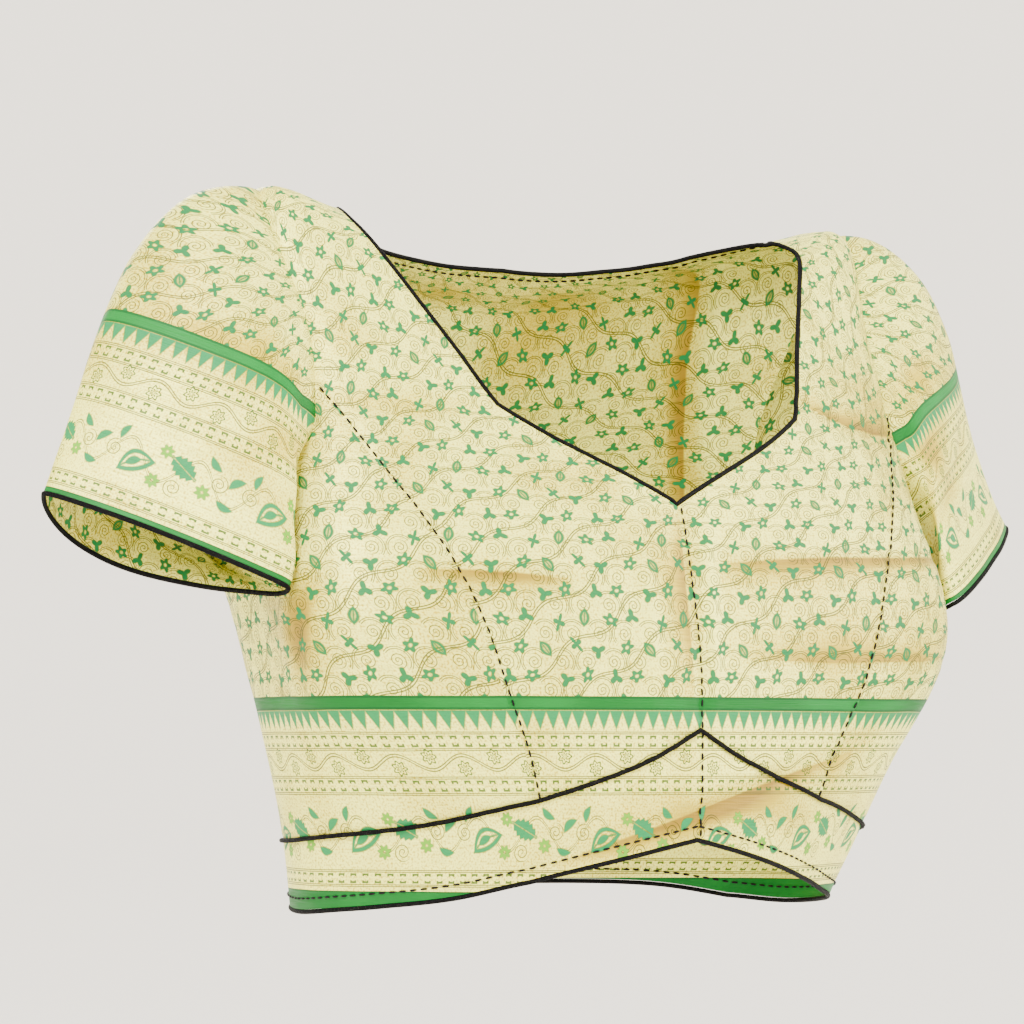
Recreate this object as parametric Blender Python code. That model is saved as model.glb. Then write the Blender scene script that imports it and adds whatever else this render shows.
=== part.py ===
"""Saree blouse (choli) in silk brocade, hollow and filled out as when worn.

Metres, +Z up. The front faces -Y and the wearer's left arm is at +X. The origin lies
midway between the two points where the shoulder seams meet the neckline.
Every body panel lies on one surface. A place on it is an angle round the body (0 at the
centre front, 90 at the side, 180 at the centre back) and a reach up it from the hem.
"""
import bmesh
import bpy
import numpy as np

# Driving sizes
WALL = 0.0014
SEAM_GAP = 0.0003
PIPING_RADIUS = 0.0009
PIPING_ROUNDNESS = 1

# Level rings of the body: reach up the cloth, height at the side, half width, depth to the
# front and to the back, how far the ring dips at the centre front and centre back, how far
# its middle lies behind the origin, and how square its front and back are (2 is an ellipse).
RINGS = (
    # reach, side_z, half_width, front, back, front_dip, back_dip, middle_y, front_square,
    # back_square
    (-0.030, -0.348, 0.128, 0.096, 0.092, 0.000, 0.000, 0.001, 1.80, 2.10),
    (0.000, -0.318, 0.137, 0.095, 0.093, 0.000, 0.000, -0.007, 1.80, 2.10),
    (0.035, -0.283, 0.147, 0.095, 0.095, 0.000, 0.000, -0.016, 1.85, 2.10),
    (0.073, -0.245, 0.156, 0.095, 0.100, 0.000, 0.000, -0.018, 2.05, 2.10),
    (0.118, -0.200, 0.164, 0.096, 0.106, 0.000, 0.000, -0.016, 2.45, 2.30),
    (0.158, -0.160, 0.170, 0.095, 0.112, 0.000, 0.000, -0.009, 2.75, 2.40),
    (0.193, -0.125, 0.174, 0.091, 0.115, 0.008, 0.010, -0.005, 2.75, 2.40),
    (0.235, -0.083, 0.173, 0.080, 0.107, 0.024, 0.024, -0.004, 2.60, 2.30),
    (0.280, -0.037, 0.170, 0.063, 0.092, 0.038, 0.041, -0.003, 2.30, 2.20),
    (0.322, 0.006, 0.163, 0.042, 0.071, 0.053, 0.043, -0.001, 2.10, 2.05),
    (0.367, 0.000, 0.121, 0.030, 0.055, 0.040, 0.022, 0.000, 2.00, 1.95),
    (0.400, -0.003, 0.090, 0.022, 0.043, 0.034, 0.009, 0.000, 2.00, 1.95),
)
# The shaping that the princess seams give: where it is fullest, by how much, and how far
# it spreads round the body and above and below.
FULLNESS = {"angle": 57.0, "reach": 0.122, "rise": 0.023, "round": 22.0, "above": 0.058,
            "below": 0.060}

# Ends of the seams and edges on the wearer's left half, as (angle, reach) places.
NECK_BOTTOM = (0.0, 0.1886)
NECK_CORNER = (27.3, 0.2470)
NECK_TOP = (90.0, 0.3668)
NECK_BACK = (180.0, 0.3830)
SHOULDER_TIP = (90.0, 0.3220)
NOTCH = (60.0, 0.2390)
UNDERARM = (112.0, 0.1680)
BAND_PEAK = (0.0, 0.0813)
BAND_FOOT = (31.0, 0.0500)
BAND_SIDE = (118.0, 0.0315)
HEM_PEAK = (0.0, 0.0337)
HEM_FOOT = (33.0, 0.0155)
HEM_SIDE = (118.0, 0.0030)
HEM_BACK = (180.0, 0.0100)

# Each seam or edge: how many cells it is cut into and the places it runs through.
LINES = {
    "centre_front": (10, (BAND_PEAK, NECK_BOTTOM)),
    "band_centre": (3, (HEM_PEAK, BAND_PEAK)),
    "neck_low": (7, (NECK_BOTTOM, (13.6, 0.2195), NECK_CORNER)),
    "neck_high": (9, (NECK_CORNER, (35.4, 0.288), (47.2, 0.3235), (68.0, 0.3530), NECK_TOP)),
    "chest": (4, (NECK_CORNER, NOTCH)),
    "shoulder": (4, (NECK_TOP, SHOULDER_TIP)),
    "armhole_front": (9, (NOTCH, (61.5, 0.262), (67.0, 0.285), (77.0, 0.307), SHOULDER_TIP)),
    "armhole_under": (9, (NOTCH, (61.0, 0.214), (71.0, 0.190), (90.0, 0.174), UNDERARM)),
    "armhole_back": (12, (UNDERARM, (119.0, 0.181), (122.0, 0.212), (118.0, 0.255),
                          (105.0, 0.299), SHOULDER_TIP)),
    "princess": (10, (BAND_FOOT, (32.0, 0.072), (34.0, 0.098), (35.5, 0.125), (38.2, 0.154),
                      (42.8, 0.182), (48.7, 0.208), (54.5, 0.227), NOTCH)),
    "side_band": (3, (HEM_SIDE, BAND_SIDE)),
    "side": (10, (BAND_SIDE, (118.0, 0.080), (116.5, 0.130), UNDERARM)),
    "band_front": (11, (BAND_PEAK, (9.0, 0.0685), (19.0, 0.0590), BAND_FOOT)),
    "band_side": (9, (BAND_FOOT, (56.0, 0.0388), (92.0, 0.0328), BAND_SIDE)),
    "hem_front": (11, (HEM_PEAK, (13.5, 0.0263), HEM_FOOT)),
    "hem_side": (9, (HEM_FOOT, (50.0, 0.0080), (70.0, 0.0040), (98.0, 0.0010), HEM_SIDE)),
    "hem_back": (12, (HEM_SIDE, (138.0, 0.0085), (160.0, 0.0100), HEM_BACK)),
    "neck_back": (8, (NECK_TOP, (102.0, 0.3710), (116.0, 0.3715), (134.0, 0.3705),
                      (156.0, 0.3760), NECK_BACK)),
    "back_middle": (25, (HEM_BACK, NECK_BACK)),
}
# Metres to a degree round the body and to a unit of reach, for spacing the panels' points.
PLACE_SCALE = np.array((0.0026, 1.0))
PATCH_PASSES = 300
LINE_SAMPLES = 300
# A mitre at a rim's corner, and a wall's lean at the armhole, are drawn out no further
# than one over these.
CORNER_LIMIT = 0.25
LEAN_LIMIT = 0.5

# Sleeve opening, for the wearer's left arm: its middle, the way from its outer end to its
# inner end, the way out through its front, and the way the sleeve runs down to it.
CUFF_MIDDLE = np.array((0.2252, -0.0313, -0.1540))
CUFF_LONG = np.array((-0.736, -0.573, -0.361))
CUFF_FRONT = np.array((0.377, -0.789, 0.484))
CUFF_RUN = np.array((0.460, -0.160, -0.873))
CUFF_HALF_LENGTH = 0.058
CUFF_FRONT_DEPTH = 0.009
CUFF_BACK_DEPTH = 0.032
CUFF_BACK_SKEW = 0.45
CUFF_FRONT_DROP = 0.002
SLEEVE_CELLS = 11
# How the sleeve leaves the armhole: how far round it (0 at the shoulder tip, 1 at the
# notch, 2 at the underarm, 3 back at the tip), the angle round the cuff that it runs to
# (180 at the outer end, 0 at the inner end), the way it sets off, and how strongly the
# two ends steer it.
SLEEVE_LAP = 3.0
SLEEVE_STATIONS = (
    # station, cuff_angle, out, back, up, leave, arrive
    (0.00, 180.0, 0.99, 0.00, 0.12, 0.068, 0.072),
    (0.35, 128.0, 0.88, -0.42, -0.12, 0.060, 0.060),
    (0.70, 65.0, 0.72, -0.45, -0.53, 0.048, 0.045),
    (1.00, 4.0, 0.66, -0.40, -0.64, 0.036, 0.018),
    (1.50, -24.0, 0.72, -0.20, -0.66, 0.032, 0.010),
    (2.00, -52.0, 0.78, -0.10, -0.62, 0.026, 0.012),
    (2.35, -95.0, 0.76, 0.35, -0.55, 0.036, 0.030),
    (2.70, -138.0, 0.88, 0.38, -0.20, 0.060, 0.060),
)

MIRROR = np.array((-1.0, 1.0, 1.0))
SILK_COLOUR = (0.86, 0.76, 0.47, 1.0)
BAND_COLOUR = (0.70, 0.70, 0.40, 1.0)
PIPING_COLOUR = (0.02, 0.02, 0.02, 1.0)
SILK_ROUGHNESS = 0.42
PIPING_ROUGHNESS = 0.55


def smooth(knots, rows, at):
    """Read a smooth curve through the rows, given at rising knots."""
    slopes = np.gradient(rows, knots, axis=0)
    cell = np.clip(np.searchsorted(knots, at, side="right") - 1, 0, len(knots) - 2)
    width = (knots[cell + 1] - knots[cell])[..., None]
    t = (at - knots[cell])[..., None] / width
    from_start = (2 * t**3 - 3 * t**2 + 1) * rows[cell] + (t**3 - 2 * t**2 + t) * width * slopes[cell]
    to_end = (3 * t**2 - 2 * t**3) * rows[cell + 1] + (t**3 - t**2) * width * slopes[cell + 1]
    return from_start + to_end


def unit(vectors):
    """Scale vectors to length one."""
    return vectors / np.linalg.norm(vectors, axis=-1, keepdims=True)


def body_point(place):
    """The point on the body's outer surface at each place."""
    angle, reach = place[..., 0], place[..., 1]
    table = np.array(RINGS)
    ring = smooth(table[:, 0], table[:, 1:], reach)
    side_z, half, front, back, front_dip, back_dip, middle, in_front, behind = (
        np.moveaxis(ring, -1, 0))
    across, ahead = np.sin(np.radians(angle)), np.cos(np.radians(angle))
    depth = np.where(ahead > 0, front, back)
    dip = np.where(ahead > 0, front_dip, back_dip)
    square = np.where(ahead > 0, in_front, behind)
    size = (np.abs(across) ** square + np.abs(ahead) ** square) ** (-1 / square)
    out, forward = half * size * across, depth * size * ahead
    up = reach - FULLNESS["reach"]
    spread = np.where(up > 0, FULLNESS["above"], FULLNESS["below"])
    away = (np.abs(angle) - FULLNESS["angle"]) / FULLNESS["round"]
    rise = FULLNESS["rise"] * np.exp(-away**2 - (up / spread) ** 2)
    grow = 1 + rise / np.hypot(out, forward)
    return np.stack((out * grow, middle - forward * grow, side_z - dip * ahead**2), axis=-1)


def body_normal(place):
    """The outward direction of the body's surface at each place."""
    turn, rise = np.array((0.5, 0.0)), np.array((0.0, 0.001))
    around = body_point(place + turn) - body_point(place - turn)
    upward = body_point(place + rise) - body_point(place - rise)
    return unit(np.cross(around, upward))


def line_places(name):
    """The places along a named line, evenly spaced in space."""
    cells, stops = LINES[name]
    stops = np.array(stops)
    if len(stops) == 2:
        fine = stops[0] + np.linspace(0, 1, LINE_SAMPLES)[:, None] * (stops[1] - stops[0])
    else:
        knots = np.arange(len(stops), dtype=float)
        fine = smooth(knots, stops, np.linspace(0, knots[-1], LINE_SAMPLES))
    steps = np.linalg.norm(np.diff(body_point(fine), axis=0), axis=-1)
    run = np.concatenate(([0.0], np.cumsum(steps)))
    wanted = np.linspace(0, run[-1], cells + 1)
    return np.stack([np.interp(wanted, run, fine[:, k]) for k in range(2)], axis=-1)


def chain(*names):
    """Places along several lines that follow each other; a minus sign runs one backwards."""
    places = []
    for name in names:
        stretch = line_places(name.lstrip("-"))
        if name.startswith("-"):
            stretch = stretch[::-1]
        places.append(stretch[1:] if places else stretch)
    return np.concatenate(places)


def patch(bottom, top, left, right):
    """Fill a four-sided patch with places, in rows from its bottom to its top.

    The places start ruled between the sides and are then evened out, so that the rows and
    columns stay apart where a side curves inward.
    """
    across = np.linspace(0, 1, len(bottom))[None, :, None]
    upward = np.linspace(0, 1, len(left))[:, None, None]
    ruled_up = (1 - upward) * bottom[None] + upward * top[None]
    ruled_across = (1 - across) * left[:, None] + across * right[:, None]
    low = (1 - across) * bottom[0] + across * bottom[-1]
    high = (1 - across) * top[0] + across * top[-1]
    grid = (ruled_up + ruled_across - (1 - upward) * low - upward * high) * PLACE_SCALE
    for _ in range(PATCH_PASSES):
        beside = (grid[1:-1, 2:] - grid[1:-1, :-2]) / 2
        above = (grid[2:, 1:-1] - grid[:-2, 1:-1]) / 2
        twist = (grid[2:, 2:] - grid[2:, :-2] - grid[:-2, 2:] + grid[:-2, :-2]) / 2
        tall = np.sum(above**2, axis=-1, keepdims=True)
        wide = np.sum(beside**2, axis=-1, keepdims=True)
        skew = np.sum(beside * above, axis=-1, keepdims=True)
        grid[1:-1, 1:-1] = (tall * (grid[1:-1, 2:] + grid[1:-1, :-2])
                            + wide * (grid[2:, 1:-1] + grid[:-2, 1:-1])
                            - skew * twist) / (2 * (tall + wide))
    return grid / PLACE_SCALE


def grid_faces(rows, columns, start=0, wrap=False):
    """Quads of a grid of points stored row by row, facing out of the cloth."""
    faces = []
    for row in range(rows - 1):
        for column in range(columns if wrap else columns - 1):
            beside = (column + 1) % columns
            low, high = start + row * columns, start + (row + 1) * columns
            faces.append((low + column, low + beside, high + beside, high + column))
    return faces


def rim_edges(faces):
    """Edges that only one face has, each as that face runs along it."""
    edges = {(a, b) for face in faces for a, b in zip(face, face[1:] + face[:1])}
    return [(a, b) for a, b in edges if (b, a) not in edges]


def rim_shift(points, normals, edges, parting):
    """For each rim point, the step that moves both its edges one unit into the cloth.

    parting gives the way to step at points where cloth of another slope joins on.
    """
    inward = {}
    for a, b in edges:
        along = unit(points[b] - points[a])
        for end in (a, b):
            step = unit(np.cross(normals[end], along))
            if a in parting and b in parting:
                step = parting[end]
            inward.setdefault(end, []).append(step)
    return {end: (first + second) / max(1 + first @ second, CORNER_LIMIT)
            for end, (first, second) in inward.items()}


def wall_object(name, points, normals, faces, joint, material):
    """Close a cloth wall behind its outer points and return it as an object.

    The rim is drawn in by half the seam gap. joint gives, for points at the armhole, the
    way to step and the way the wall lies behind them.
    """
    points, behind = points.copy(), normals.copy()
    edges = rim_edges(faces)
    parting = {end: step for end, (step, _) in joint.items()}
    for end, step in rim_shift(points, normals, edges, parting).items():
        points[end] = points[end] + step * SEAM_GAP / 2
    for end, (_, lean) in joint.items():
        behind[end] = lean / max(lean @ normals[end], LEAN_LIMIT)
    cloth = bmesh.new()
    outside = [cloth.verts.new(point) for point in points]
    inside = [cloth.verts.new(point) for point in points - WALL * behind]
    for face in faces:
        cloth.faces.new([outside[index] for index in face])
        cloth.faces.new([inside[index] for index in reversed(face)])
    for a, b in edges:
        cloth.faces.new((outside[b], outside[a], inside[a], inside[b]))
    bmesh.ops.triangulate(cloth, faces=cloth.faces)
    mesh = bpy.data.meshes.new(name)
    cloth.to_mesh(mesh)
    cloth.free()
    mesh.shade_smooth()
    mesh.materials.append(material)
    return bpy.data.objects.new(name, mesh)


def mirror_joint(joint):
    """The armhole's directions for the wearer's other side."""
    return {end: (step * MIRROR, lean * MIRROR) for end, (step, lean) in joint.items()}


def mirrored(points, normals, faces, joint):
    """The same piece of cloth for the wearer's other side."""
    turned = [tuple(reversed(face)) for face in faces]
    return points * MIRROR, normals * MIRROR, turned, mirror_joint(joint)


def sleeve_table():
    """The sleeve's stations, repeated past both ends so that the curve closes smoothly."""
    rows = np.array(SLEEVE_STATIONS)
    before, after = rows[-2:].copy(), rows[:3].copy()
    before[:, 0] -= SLEEVE_LAP
    before[:, 1] += 360
    after[:, 0] += SLEEVE_LAP
    after[:, 1] -= 360
    return np.concatenate((before, rows, after))


def cuff_point(angle):
    """Points round the sleeve's opening; the front edge is cut a little longer."""
    ahead = np.sin(np.radians(angle))[..., None]
    along = np.cos(np.radians(angle))[..., None]
    back_depth = CUFF_BACK_DEPTH * (1 - CUFF_BACK_SKEW * along)
    depth = np.where(ahead > 0, CUFF_FRONT_DEPTH, back_depth)
    drop = CUFF_FRONT_DROP * np.clip(ahead, 0, None)
    return (CUFF_MIDDLE + CUFF_LONG * CUFF_HALF_LENGTH * along + CUFF_FRONT * depth * ahead
            + CUFF_RUN * drop)


def armhole():
    """Places round the armhole from the shoulder tip by the front, and their stations."""
    places = chain("-armhole_front", "armhole_under", "armhole_back")[:-1]
    stretches = [LINES[name][0] for name in ("armhole_front", "armhole_under", "armhole_back")]
    ends = np.concatenate(([0], np.cumsum(stretches)))
    stations = np.interp(np.arange(len(places)), ends, np.arange(len(ends)))
    return places, stations


def sleeve_surface(rows):
    """Outer points of the left sleeve in rings from the armhole to the cuff."""
    places, stations = armhole()
    root = body_point(places)
    table = sleeve_table()
    read = smooth(table[:, 0], table[:, 1:], stations)
    cuff = cuff_point(read[:, 0])
    leaving = root + unit(read[:, 1:4]) * read[:, 4:5]
    arriving = cuff - unit(CUFF_RUN) * read[:, 5:6]
    t = np.linspace(0, 1, rows)[:, None, None]
    return ((1 - t) ** 3 * root + 3 * (1 - t) ** 2 * t * leaving + 3 * (1 - t) * t**2 * arriving
            + t**3 * cuff)


def tube_normals(rings):
    """Outward directions of a tube given as rings of points."""
    around = np.roll(rings, -1, axis=1) - np.roll(rings, 1, axis=1)
    along = np.gradient(rings, axis=0)
    return unit(np.cross(around, along))


def armhole_joints(rings, normals):
    """How the body and the sleeve part at each armhole point, and how their walls lie.

    The two edges part along one line. Where the seam is a ridge, the walls behind them
    share one direction, halfway between the two surfaces.
    """
    places, _ = armhole()
    body = body_normal(places)
    along = np.roll(rings[0], -1, axis=0) - np.roll(rings[0], 1, axis=0)
    into_body = unit(np.cross(along, body))
    into_sleeve = unit(np.cross(normals[0], along))
    parting = unit(into_sleeve - into_body)
    body_joint, sleeve_joint = {}, {}
    for index, step in enumerate(parting):
        body_lean, sleeve_lean = body[index], normals[0, index]
        if into_sleeve[index] @ body_lean < 0:
            body_lean = sleeve_lean = unit(body_lean + sleeve_lean)
        body_joint[index] = (-step, body_lean)
        sleeve_joint[index] = (step, sleeve_lean)
    return body_joint, sleeve_joint


def joint_by_point(points, body_joint):
    """Hand the armhole's directions to a panel's own points."""
    places, _ = armhole()
    joint = {}
    for index, seam_point in enumerate(body_point(places)):
        gaps = np.linalg.norm(points - seam_point, axis=-1)
        nearest = int(np.argmin(gaps))
        if gaps[nearest] < SEAM_GAP / 10:
            joint[nearest] = body_joint[index]
    return joint


def panel(places, faces, body_joint):
    """Points, directions, faces and armhole joint of a body panel."""
    points = body_point(places)
    return points, body_normal(places), faces, joint_by_point(points, body_joint)


def front_centre():
    """Front panel between the centre front and the princess seam, up to the shoulder."""
    low = patch(line_places("band_front"), chain("neck_low", "chest"),
                line_places("centre_front"), line_places("princess"))
    high = patch(line_places("chest"), chain("shoulder"), line_places("neck_high"),
                 line_places("armhole_front"))
    rows, columns = low.shape[:2]
    high_rows, high_columns = high.shape[:2]
    places = np.concatenate((low.reshape(-1, 2), high[1:].reshape(-1, 2)))
    faces = grid_faces(rows, columns)
    first_row = rows * columns
    shared = first_row - high_columns
    for column in range(high_columns - 1):
        faces.append((shared + column, shared + column + 1, first_row + column + 1,
                      first_row + column))
    faces += grid_faces(high_rows - 1, high_columns, first_row)
    return places, faces


def front_side():
    """Front panel between the princess seam and the side seam."""
    grid = patch(line_places("band_side"), line_places("armhole_under"),
                 line_places("princess"), line_places("side"))
    return grid.reshape(-1, 2), grid_faces(*grid.shape[:2])


def front_band():
    """Half of the band under the bust, peaked at the centre front."""
    grid = patch(chain("hem_front", "hem_side"), chain("band_front", "band_side"),
                 line_places("band_centre"), line_places("side_band"))
    return grid.reshape(-1, 2), grid_faces(*grid.shape[:2])


def back():
    """The back, in one piece from side seam to side seam."""
    half = patch(line_places("hem_back"), chain("-shoulder", "neck_back"),
                 chain("side_band", "side", "armhole_back"), line_places("back_middle"))
    other = half[:, -2::-1] * (-1, 1) + (360, 0)
    grid = np.concatenate((half, other), axis=1)
    return grid.reshape(-1, 2), grid_faces(*grid.shape[:2])


def piping(name, points, material, closed):
    """A thin round cord along a line of points."""
    curve = bpy.data.curves.new(name, "CURVE")
    curve.dimensions = "3D"
    curve.bevel_depth = PIPING_RADIUS
    curve.bevel_resolution = PIPING_ROUNDNESS
    curve.use_fill_caps = not closed
    spline = curve.splines.new("POLY")
    spline.points.add(len(points) - 1)
    spline.use_cyclic_u = closed
    for knot, point in zip(spline.points, points):
        knot.co = (*point, 1.0)
    curve.materials.append(material)
    return bpy.data.objects.new(name, curve)


def edge_piping(name, points, normals, material):
    """Piping that follows a closed free edge, which runs with the cloth on its left."""
    count = len(points)
    edges = [(index, (index + 1) % count) for index in range(count)]
    shift = rim_shift(points, normals, edges, {})
    clear = PIPING_RADIUS + SEAM_GAP / 2
    out = np.array([-shift[index] * clear for index in range(count)]) - normals * WALL / 2
    return piping(name, points + out, material, True)


def full_loop(*names):
    """Places of an edge all round the body, from half of it that starts at the front."""
    half = chain(*names)
    return np.concatenate((half, half[-2:0:-1] * (-1, 1)))


def new_material(name, colour, roughness):
    """A plain surface of one colour."""
    material = bpy.data.materials.new(name)
    material.use_nodes = True
    shader = material.node_tree.nodes["Principled BSDF"]
    shader.inputs["Base Color"].default_value = colour
    shader.inputs["Roughness"].default_value = roughness
    return material


def main():
    """Model the blouse in a collection of its own."""
    for thing in list(bpy.data.objects):
        bpy.data.objects.remove(thing, do_unlink=True)
    collection = bpy.data.collections.new("saree_blouse")
    bpy.context.scene.collection.children.link(collection)
    silk = new_material("silk brocade", SILK_COLOUR, SILK_ROUGHNESS)
    band = new_material("brocade border", BAND_COLOUR, SILK_ROUGHNESS)
    cord = new_material("piping", PIPING_COLOUR, PIPING_ROUGHNESS)

    rings = sleeve_surface(SLEEVE_CELLS + 1)
    ring_normals = tube_normals(rings)
    body_joint, sleeve_joint = armhole_joints(rings, ring_normals)
    sleeve = (rings.reshape(-1, 3), ring_normals.reshape(-1, 3),
              grid_faces(*rings.shape[:2], wrap=True), sleeve_joint)
    halves = {
        "front_centre": (panel(*front_centre(), body_joint), silk),
        "front_side": (panel(*front_side(), body_joint), silk),
        "front_band": (panel(*front_band(), body_joint), band),
        "sleeve": (sleeve, silk),
    }
    pieces = []
    for name, (shape, material) in halves.items():
        pieces.append(wall_object(name + "_left", *shape, material))
        pieces.append(wall_object(name + "_right", *mirrored(*shape), material))
    points, normals, faces, joint = panel(*back(), body_joint)
    joint.update(mirror_joint(joint_by_point(points * MIRROR, body_joint)))
    pieces.append(wall_object("back", points, normals, faces, joint, silk))

    neck = full_loop("neck_low", "neck_high", "neck_back")[::-1]
    pieces.append(edge_piping("neck_piping", body_point(neck), body_normal(neck), cord))
    hem = full_loop("hem_front", "hem_side", "hem_back")
    pieces.append(edge_piping("hem_piping", body_point(hem), body_normal(hem), cord))
    cuff, cuff_normals = rings[-1][::-1], ring_normals[-1][::-1]
    pieces.append(edge_piping("cuff_piping_left", cuff, cuff_normals, cord))
    pieces.append(edge_piping("cuff_piping_right", cuff[::-1] * MIRROR,
                              cuff_normals[::-1] * MIRROR, cord))
    half = chain("band_front", "band_side")
    belt = np.concatenate((half[::-1] * (-1, 1), half[1:]))
    lift = body_normal(belt) * (PIPING_RADIUS + SEAM_GAP)
    pieces.append(piping("band_piping", body_point(belt) + lift, cord, False))
    for piece in pieces:
        collection.objects.link(piece)


main()
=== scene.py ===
"""Look of the saree blouse: brocade shells, cord, stitching, creases, light and camera.

Metres, +Z up. The front faces -Y and the wearer's left arm is at +X. A place on the body is
an angle round it (0 at the centre front, 90 at the side, 180 at the centre back) and a reach
up it from the hem. Sizes in the weave's tables are millimetres.
"""
from functools import partialmethod, reduce

import bmesh
import bpy
import numpy as np
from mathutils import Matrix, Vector, noise
from mathutils.kdtree import KDTree


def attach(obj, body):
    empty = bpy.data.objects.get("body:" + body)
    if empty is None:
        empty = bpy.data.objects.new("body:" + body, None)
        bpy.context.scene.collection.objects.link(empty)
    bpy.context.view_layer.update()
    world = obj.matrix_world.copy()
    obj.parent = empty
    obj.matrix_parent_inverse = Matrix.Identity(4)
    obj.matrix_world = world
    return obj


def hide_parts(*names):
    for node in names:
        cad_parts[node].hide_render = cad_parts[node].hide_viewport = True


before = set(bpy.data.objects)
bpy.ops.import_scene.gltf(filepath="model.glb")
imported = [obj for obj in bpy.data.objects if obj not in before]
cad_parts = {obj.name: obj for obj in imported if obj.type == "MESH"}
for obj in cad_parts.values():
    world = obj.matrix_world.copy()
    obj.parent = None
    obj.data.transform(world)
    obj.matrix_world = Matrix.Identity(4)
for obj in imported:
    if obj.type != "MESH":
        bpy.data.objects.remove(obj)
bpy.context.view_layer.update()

# Cloth
WALL = 0.0007
PIPING_RADIUS = 0.0011
PIPING_GAP = 0.00015
DETAIL = 4
SEED = 7

# The body's level rings, as the solids have them.
RINGS = (
    # reach, side_z, half_width, front, back, front_dip, back_dip, middle_y, front_square,
    # back_square
    (-0.030, -0.348, 0.128, 0.096, 0.092, 0.000, 0.000, 0.001, 1.80, 2.10),
    (0.000, -0.318, 0.137, 0.095, 0.093, 0.000, 0.000, -0.007, 1.80, 2.10),
    (0.035, -0.283, 0.147, 0.095, 0.095, 0.000, 0.000, -0.016, 1.85, 2.10),
    (0.073, -0.245, 0.156, 0.095, 0.100, 0.000, 0.000, -0.018, 2.05, 2.10),
    (0.118, -0.200, 0.164, 0.096, 0.106, 0.000, 0.000, -0.016, 2.45, 2.30),
    (0.158, -0.160, 0.170, 0.095, 0.112, 0.000, 0.000, -0.009, 2.75, 2.40),
    (0.193, -0.125, 0.174, 0.091, 0.115, 0.008, 0.010, -0.005, 2.75, 2.40),
    (0.235, -0.083, 0.173, 0.080, 0.107, 0.024, 0.024, -0.004, 2.60, 2.30),
    (0.280, -0.037, 0.170, 0.063, 0.092, 0.038, 0.041, -0.003, 2.30, 2.20),
    (0.322, 0.006, 0.163, 0.042, 0.071, 0.053, 0.043, -0.001, 2.10, 2.05),
    (0.367, 0.000, 0.121, 0.030, 0.055, 0.040, 0.022, 0.000, 2.00, 1.95),
    (0.400, -0.003, 0.090, 0.022, 0.043, 0.034, 0.009, 0.000, 2.00, 1.95),
)
FULLNESS = {"angle": 57.0, "reach": 0.122, "rise": 0.023, "round": 22.0, "above": 0.058,
            "below": 0.060}

NECK_BOTTOM = (0, 0.1886)
NECK_CORNER = (27.3, 0.247)
NECK_TOP = (90, 0.3668)
NECK_BACK = (180, 0.383)
SHOULDER_TIP = (90, 0.322)
NOTCH = (60, 0.239)
UNDERARM = (112, 0.168)
BAND_PEAK = (0, 0.0813)
BAND_FOOT = (31, 0.05)
BAND_SIDE = (118, 0.0315)
HEM_PEAK = (0, 0.0337)
HEM_FOOT = (33, 0.0155)
HEM_SIDE = (118, 0.003)
HEM_BACK = (180, 0.01)

# Each seam or edge: cells in the solids and the places it runs through.
LINES = {
    "centre_front": (10, (BAND_PEAK, NECK_BOTTOM)),
    "band_centre": (3, (HEM_PEAK, BAND_PEAK)),
    "neck_low": (7, (NECK_BOTTOM, (13.6, 0.2195), NECK_CORNER)),
    "neck_high": (9, (NECK_CORNER, (35.4, 0.288), (47.2, 0.3235), (68, 0.353), NECK_TOP)),
    "chest": (4, (NECK_CORNER, NOTCH)),
    "shoulder": (4, (NECK_TOP, SHOULDER_TIP)),
    "armhole_front": (9, (NOTCH, (61.5, 0.262), (67, 0.285), (77, 0.307), SHOULDER_TIP)),
    "armhole_under": (9, (NOTCH, (61, 0.214), (71, 0.19), (90, 0.174), UNDERARM)),
    "armhole_back": (12, (UNDERARM, (119, 0.181), (122, 0.212), (118, 0.255),
                          (105, 0.299), SHOULDER_TIP)),
    "princess": (10, (BAND_FOOT, (32, 0.072), (34, 0.098), (35.5, 0.125), (38.2, 0.154),
                      (42.8, 0.182), (48.7, 0.208), (54.5, 0.227), NOTCH)),
    "side_band": (3, (HEM_SIDE, BAND_SIDE)),
    "side": (10, (BAND_SIDE, (118, 0.08), (116.5, 0.13), UNDERARM)),
    "band_front": (11, (BAND_PEAK, (9, 0.0685), (19, 0.059), BAND_FOOT)),
    "band_side": (9, (BAND_FOOT, (56, 0.0388), (92, 0.0328), BAND_SIDE)),
    "hem_front": (11, (HEM_PEAK, (13.5, 0.0263), HEM_FOOT)),
    "hem_side": (9, (HEM_FOOT, (50, 0.008), (70, 0.004), (98, 0.001), HEM_SIDE)),
    "hem_back": (12, (HEM_SIDE, (138, 0.0085), (160, 0.01), HEM_BACK)),
    "neck_back": (8, (NECK_TOP, (102, 0.371), (116, 0.3715), (134, 0.3705),
                      (156, 0.376), NECK_BACK)),
    "back_middle": (25, (HEM_BACK, NECK_BACK)),
}
ARMHOLE = "-armhole_front armhole_under armhole_back"
PLACE_SCALE = np.array((0.0026, 1.0))
PATCH_PASSES = 2500
LINE_SAMPLES = 300
# Steps to both sides that a normal is worked out from
NORMAL_TURN = np.array((0.5, 0.0))
NORMAL_RISE = np.array((0.0, 0.001))

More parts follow.
